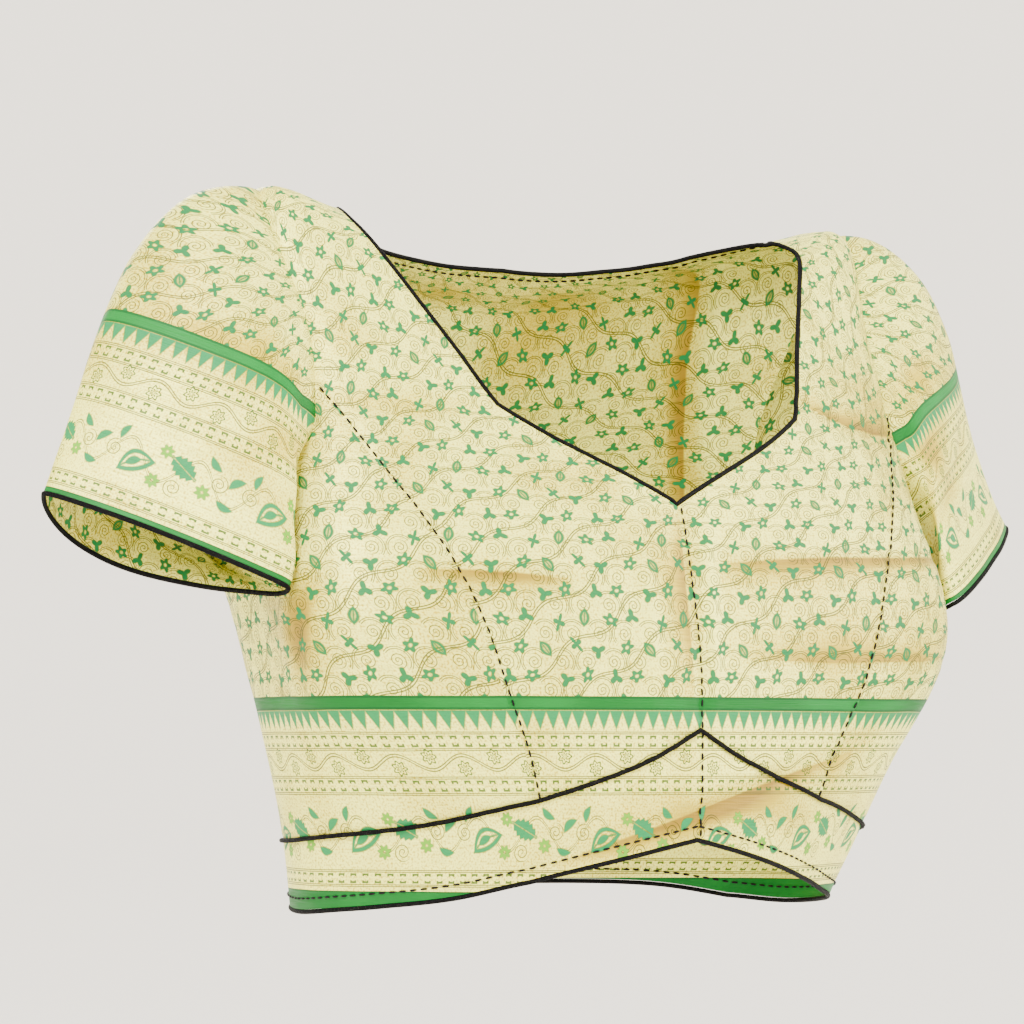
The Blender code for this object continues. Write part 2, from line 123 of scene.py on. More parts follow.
CUFF_MIDDLE = np.array((0.2252, -0.0313, -0.1540))
CUFF_LONG = np.array((-0.736, -0.573, -0.361))
CUFF_FRONT = np.array((0.377, -0.789, 0.484))
CUFF_RUN = np.array((0.460, -0.160, -0.873))
CUFF_HALF_LENGTH = 0.058
CUFF_FRONT_DEPTH = 0.009
CUFF_BACK_DEPTH = 0.032
CUFF_BACK_SKEW = 0.45
CUFF_FRONT_DROP = 0.002
SLEEVE_CELLS = 11
SLEEVE_STATIONS = (
    # station, cuff_angle, out, back, up, leave, arrive
    (0.00, 180.0, 0.99, 0.00, 0.12, 0.068, 0.072),
    (0.35, 128.0, 0.88, -0.42, -0.12, 0.060, 0.060),
    (0.70, 65.0, 0.72, -0.45, -0.53, 0.048, 0.045),
    (1.00, 4.0, 0.66, -0.40, -0.64, 0.036, 0.018),
    (1.50, -24.0, 0.72, -0.20, -0.66, 0.032, 0.010),
    (2.00, -52.0, 0.78, -0.10, -0.62, 0.026, 0.012),
    (2.35, -95.0, 0.76, 0.35, -0.55, 0.036, 0.030),
    (2.70, -138.0, 0.88, 0.38, -0.20, 0.060, 0.060),
)
# What a whole turn round the sleeve adds to a row, so that the curve closes smoothly
SLEEVE_LAP = np.array((3.0, -360.0, 0.0, 0.0, 0.0, 0.0, 0.0))
MIRROR = np.array((-1.0, 1.0, 1.0))

# Creases on the body: the places each runs through, how wide it is, how deep (a ridge is
# negative) and how much painted shade darkens the silk along it; a negative value is a painted
# highlight along a ridge. A strong one is pressed: its painted shade has a hard edge on the
# crease and fades on its right-hand side, as its places run and as seen from outside.
PRESSED = {"painted_shading": 0.5, "soft": 0.35, "reach": 0.016, "ends": 0.5}
# How a crease fades to its ends, and its shoulders and painted shade across it, in its own widths.
CREASE = {"end": 0.12, "fade": 0.6, "shoulder": 0.4, "shoulder_at": 1.9, "painted_shading": 1.5, "samples": 90}
# Slow swells of the cloth: how high and how long.
SWELLS = ((0.0009, 0.055), (0.00045, 0.022))
CREASES = (
    # places, width, depth, painted shade (negative: painted highlight)
    (((0, 0.187), (-0.5, 0.158), (-1, 0.13), (-1, 0.09)), 0.0064, 0.0011, 0.62),
    (((4.6, 0.19), (4, 0.158), (3.2, 0.13), (3, 0.092)), 0.0034, -0.001, -0.45),
    (((-9, 0.2), (-8, 0.15), (-8.5, 0.11), (-9, 0.088)), 0.0036, -0.0006, -0.2),
    (((4, 0.156), (21, 0.16), (35, 0.162), (55, 0.164), (63, 0.162)), 0.0028, 0.0012, 0.72),
    (((58, 0.114), (40, 0.113), (26, 0.112), (9, 0.113)), 0.0026, 0.0009, 0.55),
    (((-44, 0.151), (-31, 0.15), (-20, 0.147)), 0.003, 0.0012, 0.7),
    (((60, 0.226), (48, 0.232), (37, 0.242), (28, 0.26)), 0.0032, 0.0012, 0.75),
    (((-30, 0.243), (-44, 0.236), (-57, 0.236)), 0.004, 0.0008, 0.35),
    (((-29, 0.022), (-6, 0.04), (13.5, 0.056), (38.5, 0.074)), 0.0044, 0.0012, 0.85),
    (((66, 0.118), (72, 0.116), (77, 0.119)), 0.003, 0.001, 0.5),
    (((-78, 0.093), (-84, 0.096), (-92, 0.092)), 0.0026, 0.0008, 0.35),
    (((-58, 0.15), (-66, 0.128), (-72, 0.104)), 0.006, 0.0014, 0.45),
    (((-40, 0.185), (-56, 0.176), (-72, 0.18)), 0.005, -0.0009, 0.1),
    (((137, 0.12), (135, 0.18), (136.5, 0.26), (136.5, 0.3), (131, 0.372)), 0.0054, 0.0011, 0.7),
    (((126.5, 0.364), (132, 0.3), (131.5, 0.26), (130, 0.19)), 0.0032, -0.0009, -0.4),
    (((150, 0.352), (168, 0.344), (190, 0.346), (206, 0.352)), 0.005, 0.001, 0.3),
    (((128, 0.15), (146, 0.138), (166, 0.141)), 0.0052, 0.0013, 0.45),
    (((232, 0.163), (214, 0.15), (196, 0.154)), 0.0048, 0.0012, 0.4),
    (((124, 0.072), (150, 0.064), (172, 0.07)), 0.0046, 0.001, 0.35),
    (((238, 0.06), (216, 0.07), (200, 0.066)), 0.004, 0.0009, 0.35),
    (((221, 0.35), (224, 0.3), (222, 0.24)), 0.0046, 0.0009, 0.4),
)
# Broad areas of painted shade on the silk: place, spread round and up, and strength.
PAINTED_SHADE_AREAS = (
    # angle, reach, round, up, strength
    (18, 0.15, 18, 0.012, 0.34),
    (48, 0.13, 20, 0.02, 0.3),
    (20, 0.122, 14, 0.01, 0.3),
    (-68, 0.122, 10, 0.026, 0.55),
    (-36, 0.14, 12, 0.01, 0.25),
    (52, 0.246, 10, 0.016, 0.32),
    (-58, 0.215, 10, 0.022, 0.22),
    (10, 0.046, 22, 0.009, 0.4),
    (164, 0.318, 13, 0.026, 0.42),
    (139, 0.27, 6, 0.08, 0.3),
    (150, 0.12, 18, 0.03, 0.3),
    (214, 0.13, 18, 0.03, 0.3),
)
# Creases on the left sleeve: places are how far round it (0 to 1 from the shoulder) and how
# far down it (0 at the armhole, 1 at the cuff).
SLEEVE_CREASES = (
    # places, width, depth, painted shade
    (((0.3, 0.06), (0.2, 0.2), (0.1, 0.42)), 0.006, 0.0014, 0.4),
    (((0.34, 0.14), (0.26, 0.34), (0.2, 0.5)), 0.005, 0.0011, 0.48),
    (((0.7, 0.1), (0.8, 0.28), (0.9, 0.44)), 0.006, 0.0014, 0.45),
    (((0.62, 0.2), (0.7, 0.4), (0.8, 0.56)), 0.005, 0.0012, 0.35),
    (((0.12, 0.6), (0.2, 0.66), (0.3, 0.62)), 0.0044, 0.0008, 0.3),
)
# The right sleeve has the left one's creases, a little moved and changed.
OTHER_SHIFT = np.array((0.03, 0.05))
OTHER_FORM = np.array((1.15, 0.85, 0.9))

# Stitching, and what it does to the cloth along the seams
STITCH = {"length": 0.0031, "pitch": 0.0049, "radius": 0.0005, "sink": 0.00012, "taper": 0.45,
          "points": 5}
PUCKER = {"valley": 0.0006, "valley_width": 0.0020, "ripple": 0.00022, "ripple_width": 0.0052,
          "pitch": 0.0112}
SEAMS = ("princess", "side", "side_band", "shoulder", "band_front band_side")

# Camera
CAMERA_PLACE = Vector((-1.1354, -1.6986, -0.2451))
CAMERA_TURN = 33.935
CAMERA_FOCAL = 4374.0
CAMERA_SHIFT = (-60.0, 237.0)
PICTURE = 1024.0
SENSOR = 36.0

# How the left sleeve's cloth lies: the share down it where its width is measured, how far the
# cuff is above the weave's edge, the inside's shift up the weave, and the share of it near the
# armhole that follows the body. Then the painted shade areas round it.
SLEEVE_LEVEL = 0.6
SLEEVE_RISE = 0.008
SLEEVE_INNER_RISE = 0.092
SLEEVE_ROOT = 0.14
SLEEVE_PAINTED_SHADE = {"strength": 0.35, "middle": 0.42, "spread": 0.14, "waves": 3}

# Distances round the body at each reach, for the weave's straight grain.
GRAIN_ANGLES = np.arange(-180.0, 361.0, 1.0)
GRAIN_STEP = 0.005
GRAIN_LEVEL = 0.085
GRAIN_FOLLOW = 0.25
GRAIN_REACHES = np.arange(-0.03, 0.4001, GRAIN_STEP)

# The field: motifs stand in staggered steps this far apart, and each step of the chart
# gives a motif's turn (in whole turns), its kind and its shift.
FIELD_STEP = (12.5, 12.333)
FIELD_CHART = (
    # turn, kind, shift
    (0.08, 0, 0.3), (0.61, 1, 0.6), (0.35, 2, 0.4), (0.86, 3, 0.7),
    (0.44, 1, 0.5), (0.93, 0, 0.2), (0.19, 3, 0.6), (0.72, 2, 0.5),
    (0.27, 0, 0.6), (0.55, 1, 0.3), (0.02, 0, 0.7), (0.67, 1, 0.4),
)
FIELD_KINDS = 4
KIND_GATE = 0.1  # how near a step's kind has to be to a motif's own
FIELD_COLUMNS = 4
FIELD_ROWS = 3
FIELD_SHIFTS = (7.0, 3.5)
FIELD_PETALS = (
    # kind, shift, flatness, radius, petals, depth, hole
    (0, -0.3, 1.15, 3.7, 3, 0.66, 0.0), (1, 0.0, 1.4, 3.9, 5, 0.44, 1.2),
    (3, 0.4, 1.5, 4.0, 4, 0.70, 0.0),
)
FIELD_LEAF = (2, 4.0, 2.4, 0.55)
# How far inside an open leaf its outline lies, in half lines, and half its midrib
OUTLINE = 1.3
MIDRIB = 0.2
# A vine's or wave's four numbers are its swing, period, gap and half line, a spiral's its radius,
# pitch and half line.
FIELD_VINE = {"lean": 32.0, "apart": 19.0, "wave": (2.6, 37.0, 0.55, 0.27)}
FIELD_ARC = {"radius": 5.6, "gap": 0.45, "line": 0.18, "lean": 0.8}
FIELD_SPIRAL = (3.6, 1.6, 0.20)
# Rows of the border, by height above the hem.
STRIP = (93.0, 3.0)
TEETH = {"base": 89.6, "point": 81.8, "pitch": 6.2}
SQUARE_ROWS = (
    # middle, half height of the row, half height of a mark
    (76.3, 4.0, 2.5), (56.7, 4.0, 2.5), (15.9, 3.6, 2.2),
)
SQUARE = {"half_width": 1.6, "pitch": 6.2, "line": 0.46, "gap": 0.9}
SQUARE_LINES = {"inset": 0.4, "gap": 0.4, "line": 0.20}
WAVE_HEIGHT = 67.0
WAVE_PERIOD = 30.8
WAVE = (3.2, WAVE_PERIOD, 0.6, 0.27)
ROSETTE = {"form": (3.6, 7, 0.30), "rings": (0.3, 2.0), "line": 0.38}
WAVE_ROSETTES = (
    # across, up
    (7.7, 64.4), (23.1, 69.6),
)
LEAF_ROW_REPEAT = 62.0
ROW_TALL = 900.0
LEAF_ROW_MOTIFS = (
    # across, up, kind, turn, size
    (12.0, 33.5, "big open leaf", 28, 8.6), (32.5, 37.5, "big jagged leaf", 152, 7.6),
    (23.5, 42.0, "lime rosette", 20, 3.0), (22.0, 27.5, "lime rosette", -35, 3.2),
    (44.5, 44.0, "small leaf", 140, 3.8), (55.5, 40.0, "small leaf", 40, 4.2),
    (43.0, 30.5, "lime rosette", 0, 3.2), (2.5, 44.5, "small leaf", 70, 3.6),
    (53.0, 27.5, "small leaf", 165, 3.8),
)
LEAF_ROW_SPIRALS = (
    # across, up, turn, way
    (48.5, 36.5, 0, 1), (1.0, 36.0, 140, -1), (31.0, 27.5, 220, 1),
)
OPEN_LEAF = {"bend": 0.035, "width": 0.60, "line": 0.85, "eye": (0.1, 0.42, 0.20)}
JAGGED_LEAF = {"width": 0.62, "pitch": 2.4, "depth": 1.15, "rib": 0.25}
SMALL_LEAF = {"bend": 0.06, "width": 0.40}
LIME_ROSETTE = (7, 0.35, 0.8)
LEAF_ROW_SPIRAL = (4.2, 1.9, 0.22)
SCROLL_HEIGHT = 35.3
SCROLL_REACH = 13.6
SCROLL = (7.6, LEAF_ROW_REPEAT / 2, 0.6, 0.22)
SELVEDGE = 10.2

# Colours
GROUND = "F6F474"
# The silk's gold is laid on by painted shade and by random mottle; the ochre is deep painted shade.
GOLD_SHADE_AND_MOTTLE = "BEA628"
PAINTED_SHADE_OCHRE = "7A5A12"
TEAL = "017A42"
FIELD_TEAL = "016A36"
GREEN = "045C1C"
LIGHT_GREEN = "0E7228"
DARK_GREEN = "044018"
LIME = "62A018"
LINE_OLIVE = "30380A"
# Colour of the double lines, the small marks and a motif's rim, and how much silk it covers
LINE_INK = (LINE_OLIVE, 0.88)
MARK_INK = ("0C4A0C", 0.9)
RIM_INK = ("3C5C14", 0.7)
SOLID = 0.95
SHEEN = "FFF3CF"
PAPER = "EFEBE4"
SKY = "FFFDF8"

# Each noise of the silk: how it is stretched along and across, and its detail.
SLUB = ((70.0, 1300.0, 1.0), 0.0)
ENDS = ((1300.0, 60.0, 1.0), 0.0)
CLOUD = ((17.0, 17.0, 1.0), 2.0)
SPECKLE = ((1000.0, 1000.0, 1.0), 0.0)
FUZZ = ((900.0, 900.0, 900.0), 1.0)
# What turns the silk gold: the painted shade's own share, then above which level each noise adds
# its random mottle and how much.
PAINTED_SHADE_SHARE = 1.3
CLOUD_TAN = (0.48, 1.7)
SPECKLE_TAN = (0.46, 2.0)
# Where painted shade deepens to ochre: above which level and how much, and at most how much.
DEEP_PAINTED_SHADE = (0.46, 1.5)
DEEP_MOST = 0.8
LIGHT_CLOUD = (0.42, 3.0)
# How fast a pressed crease's shade begins and ends, for each metre, and the threads' strength.
PRESS_EDGE = (800.0, 0.5)
PRESS_SHADE = (-75.0, 1.0)
THREADS = (0.25, 0.15, 0.06)
MASK_EDGE = 0.16
RIM = 0.42
STRIP_EDGE = (0.5, 0.55)
SELVEDGE_EDGE = (0.3, 0.3)
EDGE_SHADE = 0.7
# How the raised weave shines
RAISED = {"solid": 0.8, "fine": 0.3, "rough": 0.16, "metal": 0.12}
ROUGH = 0.42
SLUB_ROUGH = 0.18
SILK = {"Sheen Weight": 0.03, "Sheen Roughness": 0.35, "Specular IOR Level": 0.15}
SILK_BUMP = {"Distance": 0.00016, "Strength": 0.8}

# Cord and thread: name, two colours, how much of the second, how the surface shines, and whether
# it is twisted.
CORD = ("dark_cord", "020202", "0C0B0A", 0.5, {"Roughness": 0.75, "Specular IOR Level": 0.1}, True)
THREAD = ("dark_thread", "040303", "100D0A", 0.5,
          {"Roughness": 0.6, "Specular IOR Level": 0.15}, False)
TWIST = {"Scale": 520.0, "Distortion": 1.2}
TWIST_BUMP = 0.0002

# Rows of stitches: how far above the hem and below the back of the neck, and degrees aside
HEM_STITCH_RISE = 0.0050
NECK_STITCH_DROP = 0.0065
STITCH_ASIDE = {"centre": 0.5, "princess": 0.7}

# Stage and light
STAGE_HEIGHT = -0.72
STAGE_ROUGH = 0.9
STAGE_TURNS = 96
STAGE_WELD = 0.0005
FLOOR_RADIUS = 1.6
BEND_START = (2.2, 0.02)
BEND_RADIUS = 1.4
BEND_STEPS = 9
WALL_TOP = (3.6, 3.6)
LIGHTS = (
    # name, place, aimed at, size, watts
    ("key", (-1.7, -1.5, 1.3), (0.0, 0.0, -0.15), 1.3, 142.0),
    ("fill", (1.9, -1.5, 0.5), (0.0, 0.0, -0.15), 1.6, 70.0),
    ("back", (0.4, 2.0, 1.2), (0.0, 0.0, -0.10), 1.2, 45.0),
)
AMBIENT = 2.3


def smooth(knots, rows, at):
    """Read a smooth curve through the rows, given at rising knots."""
    slopes = np.gradient(rows, knots, axis=0)
    cell = np.clip(np.searchsorted(knots, at, side="right") - 1, 0, len(knots) - 2)
    width = (knots[cell + 1] - knots[cell])[..., None]
    t = (at - knots[cell])[..., None] / width
    leaving = (t**3 - 2 * t**2 + t) * width * slopes[cell]
    arriving = (t**3 - t**2) * width * slopes[cell + 1]
    return ((2 * t**3 - 3 * t**2 + 1) * rows[cell] + leaving
            + ((3 * t**2 - 2 * t**3) * rows[cell + 1] + arriving))


def unit(vectors):
    """Scale vectors to length one."""
    return vectors / np.linalg.norm(vectors, axis=-1, keepdims=True)


def body_point(place):
    """The point on the body's outer surface at each place."""
    angle, reach = place[..., 0], place[..., 1]
    table = np.array(RINGS)
    ring = smooth(table[:, 0], table[:, 1:], reach)
    side_z, half, front, back, front_dip, back_dip, middle, in_front, behind = (
        np.moveaxis(ring, -1, 0))
    across, ahead = np.sin(np.radians(angle)), np.cos(np.radians(angle))
    depth, dip, square = np.where(ahead > 0, (front, front_dip, in_front),
                                  (back, back_dip, behind))
    size = (np.abs(across) ** square + np.abs(ahead) ** square) ** (-1 / square)
    out, forward = half * size * across, depth * size * ahead
    up = reach - FULLNESS["reach"]
    spread = np.where(up > 0, FULLNESS["above"], FULLNESS["below"])
    away = (np.abs(angle) - FULLNESS["angle"]) / FULLNESS["round"]
    rise = FULLNESS["rise"] * np.exp(-away**2 - (up / spread) ** 2)
    grow = 1 + rise / np.hypot(out, forward)
    return np.stack((out * grow, middle - forward * grow, side_z - dip * ahead**2), axis=-1)


def body_normal(place):
    """The outward direction of the body's surface at each place."""
    around = body_point(place + NORMAL_TURN) - body_point(place - NORMAL_TURN)
    upward = body_point(place + NORMAL_RISE) - body_point(place - NORMAL_RISE)
    return unit(np.cross(around, upward))


def distances(points):
    """How far along a line, or along each of several side by side, the points lie."""
    steps = np.linalg.norm(np.diff(points, axis=0), axis=-1)
    return np.cumsum(np.insert(steps, 0, 0.0, axis=0), axis=0)


def line_places(name):
    """The places along a named line, evenly spaced in space."""
    cells, stops = LINES[name]
    stops = np.array(stops)
    if len(stops) == 2:
        fine = stops[0] + np.linspace(0, 1, LINE_SAMPLES)[:, None] * (stops[1] - stops[0])
    else:
        fine = through(stops, LINE_SAMPLES)
    run = distances(body_point(fine))
    wanted = np.linspace(0, run[-1], cells * DETAIL + 1)
    return np.stack([np.interp(wanted, run, part) for part in fine.T], axis=-1)


def chain(names):
    """Places along named lines that follow each other; a minus sign runs one backwards."""
    places = []
    for name in names.split():
        stretch = line_places(name.lstrip("-"))
        if name.startswith("-"):
            stretch = stretch[::-1]
        places.append(stretch[1:] if places else stretch)
    return np.concatenate(places)


def patch(*sides):
    """Fill the patch between four chains (bottom, top, left, right) with evened out places."""
    bottom, top, left, right = (chain(names) for names in sides)
    across = np.linspace(0, 1, len(bottom))[None, :, None]
    upward = np.linspace(0, 1, len(left))[:, None, None]
    ruled_up = (1 - upward) * bottom[None] + upward * top[None]
    ruled_across = (1 - across) * left[:, None] + across * right[:, None]
    low = (1 - across) * bottom[0] + across * bottom[-1]
    high = (1 - across) * top[0] + across * top[-1]
    grid = (ruled_up + ruled_across - (1 - upward) * low - upward * high) * PLACE_SCALE
    for _ in range(PATCH_PASSES):
        beside = (grid[1:-1, 2:] - grid[1:-1, :-2]) / 2
        above = (grid[2:, 1:-1] - grid[:-2, 1:-1]) / 2
        twist = (grid[2:, 2:] - grid[2:, :-2] - grid[:-2, 2:] + grid[:-2, :-2]) / 2
        tall, wide, skew = (np.sum(product, axis=-1, keepdims=True)
                            for product in (above**2, beside**2, beside * above))
        grid[1:-1, 1:-1] = (tall * (grid[1:-1, 2:] + grid[1:-1, :-2])
                            + wide * (grid[2:, 1:-1] + grid[:-2, 1:-1])
                            - skew * twist) / (2 * (tall + wide))
    return grid / PLACE_SCALE


def grid_faces(rows, columns, start=0, wrap=False):
    """Quads of a grid of points stored row by row, facing out of the cloth."""
    faces = []
    for row in range(rows - 1):
        low, high = start + row * columns, start + (row + 1) * columns
        for column in range(columns if wrap else columns - 1):
            beside = (column + 1) % columns
            faces.append((low + column, low + beside, high + beside, high + column))
    return faces


def rim_edges(faces):
    """Edges that only one face has, each as that face runs along it."""
    edges = {(a, b) for face in faces for a, b in zip(face, face[1:] + face[:1])}
    return [(a, b) for a, b in edges if (b, a) not in edges]


def cuff_point(angle):
    """Points round the sleeve's opening."""
    ahead = np.sin(np.radians(angle))[..., None]
    along = np.cos(np.radians(angle))[..., None]
    back_depth = CUFF_BACK_DEPTH * (1 - CUFF_BACK_SKEW * along)
    depth = np.where(ahead > 0, CUFF_FRONT_DEPTH, back_depth)
    drop = CUFF_FRONT_DROP * np.clip(ahead, 0, None)
    return (CUFF_MIDDLE + CUFF_LONG * CUFF_HALF_LENGTH * along + CUFF_FRONT * depth * ahead
            + CUFF_RUN * drop)


def sleeve_surface(rows):
    """Outer points of the left sleeve in rings from the armhole to the cuff."""
    places = chain(ARMHOLE)[:-1]
    cells = [LINES[name.strip("-")][0] * DETAIL for name in ARMHOLE.split()]
    ends = np.cumsum([0, *cells])
    stations = np.interp(np.arange(len(places)), ends, np.arange(len(ends)))
    root = body_point(places)
    table = np.array(SLEEVE_STATIONS)
    table = np.concatenate((table[-2:] - SLEEVE_LAP, table, table[:3] + SLEEVE_LAP))
    read = smooth(table[:, 0], table[:, 1:], stations)
    cuff = cuff_point(read[:, 0])
    leaving = root + unit(read[:, 1:4]) * read[:, 4:5]
    arriving = cuff - unit(CUFF_RUN) * read[:, 5:6]
    t = np.linspace(0, 1, rows)[:, None, None]
    return ((1 - t) ** 3 * root + 3 * (1 - t) ** 2 * t * leaving + 3 * (1 - t) * t**2 * arriving
            + t**3 * cuff)


def tube_normals(rings):
    """Outward directions of a tube given as rings of points."""
    around = np.roll(rings, -1, axis=1) - np.roll(rings, 1, axis=1)
    along = np.gradient(rings, axis=0)
    return unit(np.cross(around, along))


def front_centre():
    """Places and faces of the panel from the centre front to the princess seam."""
    low = patch("band_front", "neck_low chest", "centre_front", "princess")
    high = patch("chest", "shoulder", "neck_high", "armhole_front")
    places = np.concatenate((low.reshape(-1, 2), high[1:].reshape(-1, 2)))
    shared = low.size // 2 - high.shape[1]
    return places, grid_faces(*low.shape[:2]) + grid_faces(*high.shape[:2], shared)


def whole(grid):
    """The places and faces of a panel that is one patch."""
    return grid.reshape(-1, 2), grid_faces(*grid.shape[:2])


def back():
    """Places and faces of the back, from side seam to side seam."""
    half = patch("hem_back", "-shoulder neck_back", "side_band side armhole_back", "back_middle")
    return whole(np.concatenate((half, half[:, -2::-1] * (-1, 1) + (360, 0)), axis=1))


def grain_table():
    """Distance round the body from the centre front, by reach and angle."""
    places = np.stack(np.meshgrid(GRAIN_ANGLES, GRAIN_REACHES, indexing="ij"), axis=-1)
    run = distances(body_point(places)).T
    start = int(np.argmin(np.abs(GRAIN_ANGLES)))
    return run - run[:, start:start + 1]


GRAIN = grain_table()


def grain(places, angle):
    """Metres across the cloth from the upright line at an angle, and up it from the hem.

    Widths are read nearer to one level than the place itself is, which keeps motifs upright.
    """
    def across(at):
        reach = GRAIN_LEVEL + GRAIN_FOLLOW * (at[..., 1] - GRAIN_LEVEL)
        x = np.clip((at[..., 0] - GRAIN_ANGLES[0]), 0, len(GRAIN_ANGLES) - 1.001)
        y = np.clip((reach - GRAIN_REACHES[0]) / GRAIN_STEP, 0, len(GRAIN_REACHES) - 1.001)
        i, j = x.astype(int), y.astype(int)
        fx, fy = x - i, y - j
        low = GRAIN[j, i] * (1 - fx) + GRAIN[j, i + 1] * fx
        high = GRAIN[j + 1, i] * (1 - fx) + GRAIN[j + 1, i + 1] * fx
        return low * (1 - fy) + high * fy

    upright = places.copy()
    upright[..., 0] = angle
    return np.stack((across(places) - across(upright), places[..., 1]), axis=-1)


def through(stops, count):
    """A number of points along a smooth line through a few stops."""
    stops = np.array(stops)
    knots = np.arange(len(stops), dtype=float)
    return smooth(knots, stops, np.linspace(0, knots[-1], count))


def crease_relief(points, lines):
    """How far creases lift the cloth at each point, and its tone.

    The tone is how much painted shade the cloth has (negative: painted highlight), how strong the
    nearest pressed crease's painted shade is, and how far into that crease's shaded side the point
    lies, in metres.
    """
    lift, tone = np.zeros(len(points)), np.zeros((len(points), 3))
    for line, normals, width, depth, painted_shading in lines:
        way = np.linspace(CREASE["end"], np.pi - CREASE["end"], len(line))
        gaps = np.linalg.norm(points[:, None] - line[None], axis=-1)
        nearest = np.argmin(gaps, axis=1)
        gap = gaps[np.arange(len(points)), nearest]
        across = gap / width
        weight = (np.sin(way) ** CREASE["fade"])[nearest]
        shoulder = CREASE["shoulder"] * np.exp(-(across - CREASE["shoulder_at"]) ** 2)
        lift -= depth * weight * (np.exp(-across**2) - shoulder)
        pressed = painted_shading >= PRESSED["painted_shading"]
        soft = PRESSED["soft"] if pressed else 1.0
        # Painted shade along the crease, or painted highlight along a ridge where the value is
        # negative.
        tone[:, 0] += soft * painted_shading * weight * np.exp(-(across / CREASE["painted_shading"]) ** 2)
        if pressed:
            shaded = unit(np.cross(np.gradient(line, axis=0), normals))
            side = np.sum((points - line[nearest]) * shaded[nearest], axis=-1)
            ends = np.sin(np.linspace(0, np.pi, len(line))).clip(0, 1) ** PRESSED["ends"]
            power = painted_shading * ends[nearest] * np.exp(-(gap / PRESSED["reach"]) ** 2)
            stronger = power > tone[:, 1]
            tone[stronger, 1] = power[stronger]
            tone[stronger, 2] = side[stronger]
    return lift, tone


def unevenness(points):
    """Slow swells of cloth that hangs free, in metres."""
    start = Vector((SEED, SEED, SEED))
    lift = np.zeros(len(points))
    for height, length in SWELLS:
        lift += height * np.array([noise.noise(Vector(point / length) + start) for point in points])
    return lift


def seam_relief(points, tree, runs):
    """The valley along seams and the small puckers that stitching pulls into the cloth."""
    nearest, gap = zip(*[tree.find(point)[1:] for point in points])
    run, gap = np.array(runs)[list(nearest)], np.array(gap)
    ripple = PUCKER["ripple"] * np.sin(2 * np.pi * run / PUCKER["pitch"])
    return (ripple * np.exp(-(gap / PUCKER["ripple_width"]) ** 2)
            - PUCKER["valley"] * np.exp(-(gap / PUCKER["valley_width"]) ** 2))


def seam_tree(chains):
    """A search tree of the seams' points, and how far along its seam each lies."""
    points, runs = [], []
    for line in chains:
        points += list(line)
        runs += list(distances(line))
    tree = KDTree(len(points))
    for index, point in enumerate(points):
        tree.insert(point, index)
    tree.balance()
    return tree, runs


def both_sides(points):
    """A line of points and its mirror image."""
    return [points, points * MIRROR]


def fill(tree, node, inputs):
    """Link or set a node's inputs, given by name or number."""
    for slot, value in inputs.items():
        value = value.socket if isinstance(value, Wire) else value
        if isinstance(value, bpy.types.NodeSocket):
            tree.links.new(value, node.inputs[slot])
        else:
            node.inputs[slot].default_value = value


def add_node(tree, kind, inputs, **settings):
    """A new shader node with its settings and inputs."""
    node = tree.nodes.new("ShaderNode" + kind)
    for name, value in settings.items():
        setattr(node, name, value)
    fill(tree, node, inputs)
    return node


class Wire:
    """A number in a shader, with arithmetic written as ordinary expressions."""

    def __init__(self, tree, socket):
        self.tree, self.socket = tree, socket

    def run(self, operation, *others, clamp=False):
        """Another number, worked out from this one."""
        node = add_node(self.tree, "Math", dict(enumerate((self, *others))), operation=operation,
                        use_clamp=clamp)
        return Wire(self.tree, node.outputs[0])

    __add__ = partialmethod(run, "ADD")
    __sub__ = partialmethod(run, "SUBTRACT")
    __mul__ = partialmethod(run, "MULTIPLY")
    __truediv__ = partialmethod(run, "DIVIDE")
    __rsub__ = partialmethod(run, "MULTIPLY_ADD", -1.0)
    __abs__ = partialmethod(run, "ABSOLUTE")
    low = partialmethod(run, "MINIMUM")
    high = partialmethod(run, "MAXIMUM")
    times_plus = partialmethod(run, "MULTIPLY_ADD")
    modulo = partialmethod(run, "FLOORED_MODULO")

    def wrap(self, period):
        """The number brought within half a period of nothing."""
        return self.run("WRAP", period / 2, -period / 2)

    def over(self, level, gain):
        """How far the number is above a level, times a gain."""
        return (self - level).high(0.0) * gain

    def mask(self):
        """One where a signed distance is inside, with a soft edge."""
        return self.times_plus(1 / MASK_EDGE, 0.5, clamp=True)


def split(tree, kind, socket):
    """The parts of a vector or a colour."""
    return [Wire(tree, part) for part in add_node(tree, kind, {0: socket}).outputs]


def vector_node(tree, operation, *values):
    """A vector operation on sockets and constants, as its node."""
    return add_node(tree, "VectorMath", dict(enumerate(values)), operation=operation)


def spot(tree, millimetres, centre, period, turn=0.0):
    """Coordinates about one spot of a repeat, turned by an angle in degrees."""
    half = (period / 2, ROW_TALL / 2)
    away = vector_node(tree, "SUBTRACT", millimetres, (*centre, 0.0)).outputs[0]
    away = vector_node(tree, "WRAP", away, (*half, 1.0), (-half[0], -half[1], -1.0)).outputs[0]
    cosine, sine = np.cos(np.radians(turn)), np.sin(np.radians(turn))
    return [Wire(tree, vector_node(tree, "DOT_PRODUCT", away, axis).outputs["Value"])
            for axis in ((cosine, sine, 0.0), (-sine, cosine, 0.0))]


def distance(a, b):
    """The distance from the middle."""
    return (a * a + b * b).run("SQRT")


def turned(a, b, cosine, sine):
    """Coordinates turned by an angle."""
    return a * cosine + b * sine, b * cosine - a * sine


def stroke(value, at, half_width):
    """A line where a distance has a value."""
    return half_width - abs(value - at)


def leaf(a, b, half_length, half_width):
    """A pointed leaf along a."""
    return (a * a).times_plus(-half_width / half_length**2, half_width) - abs(b)


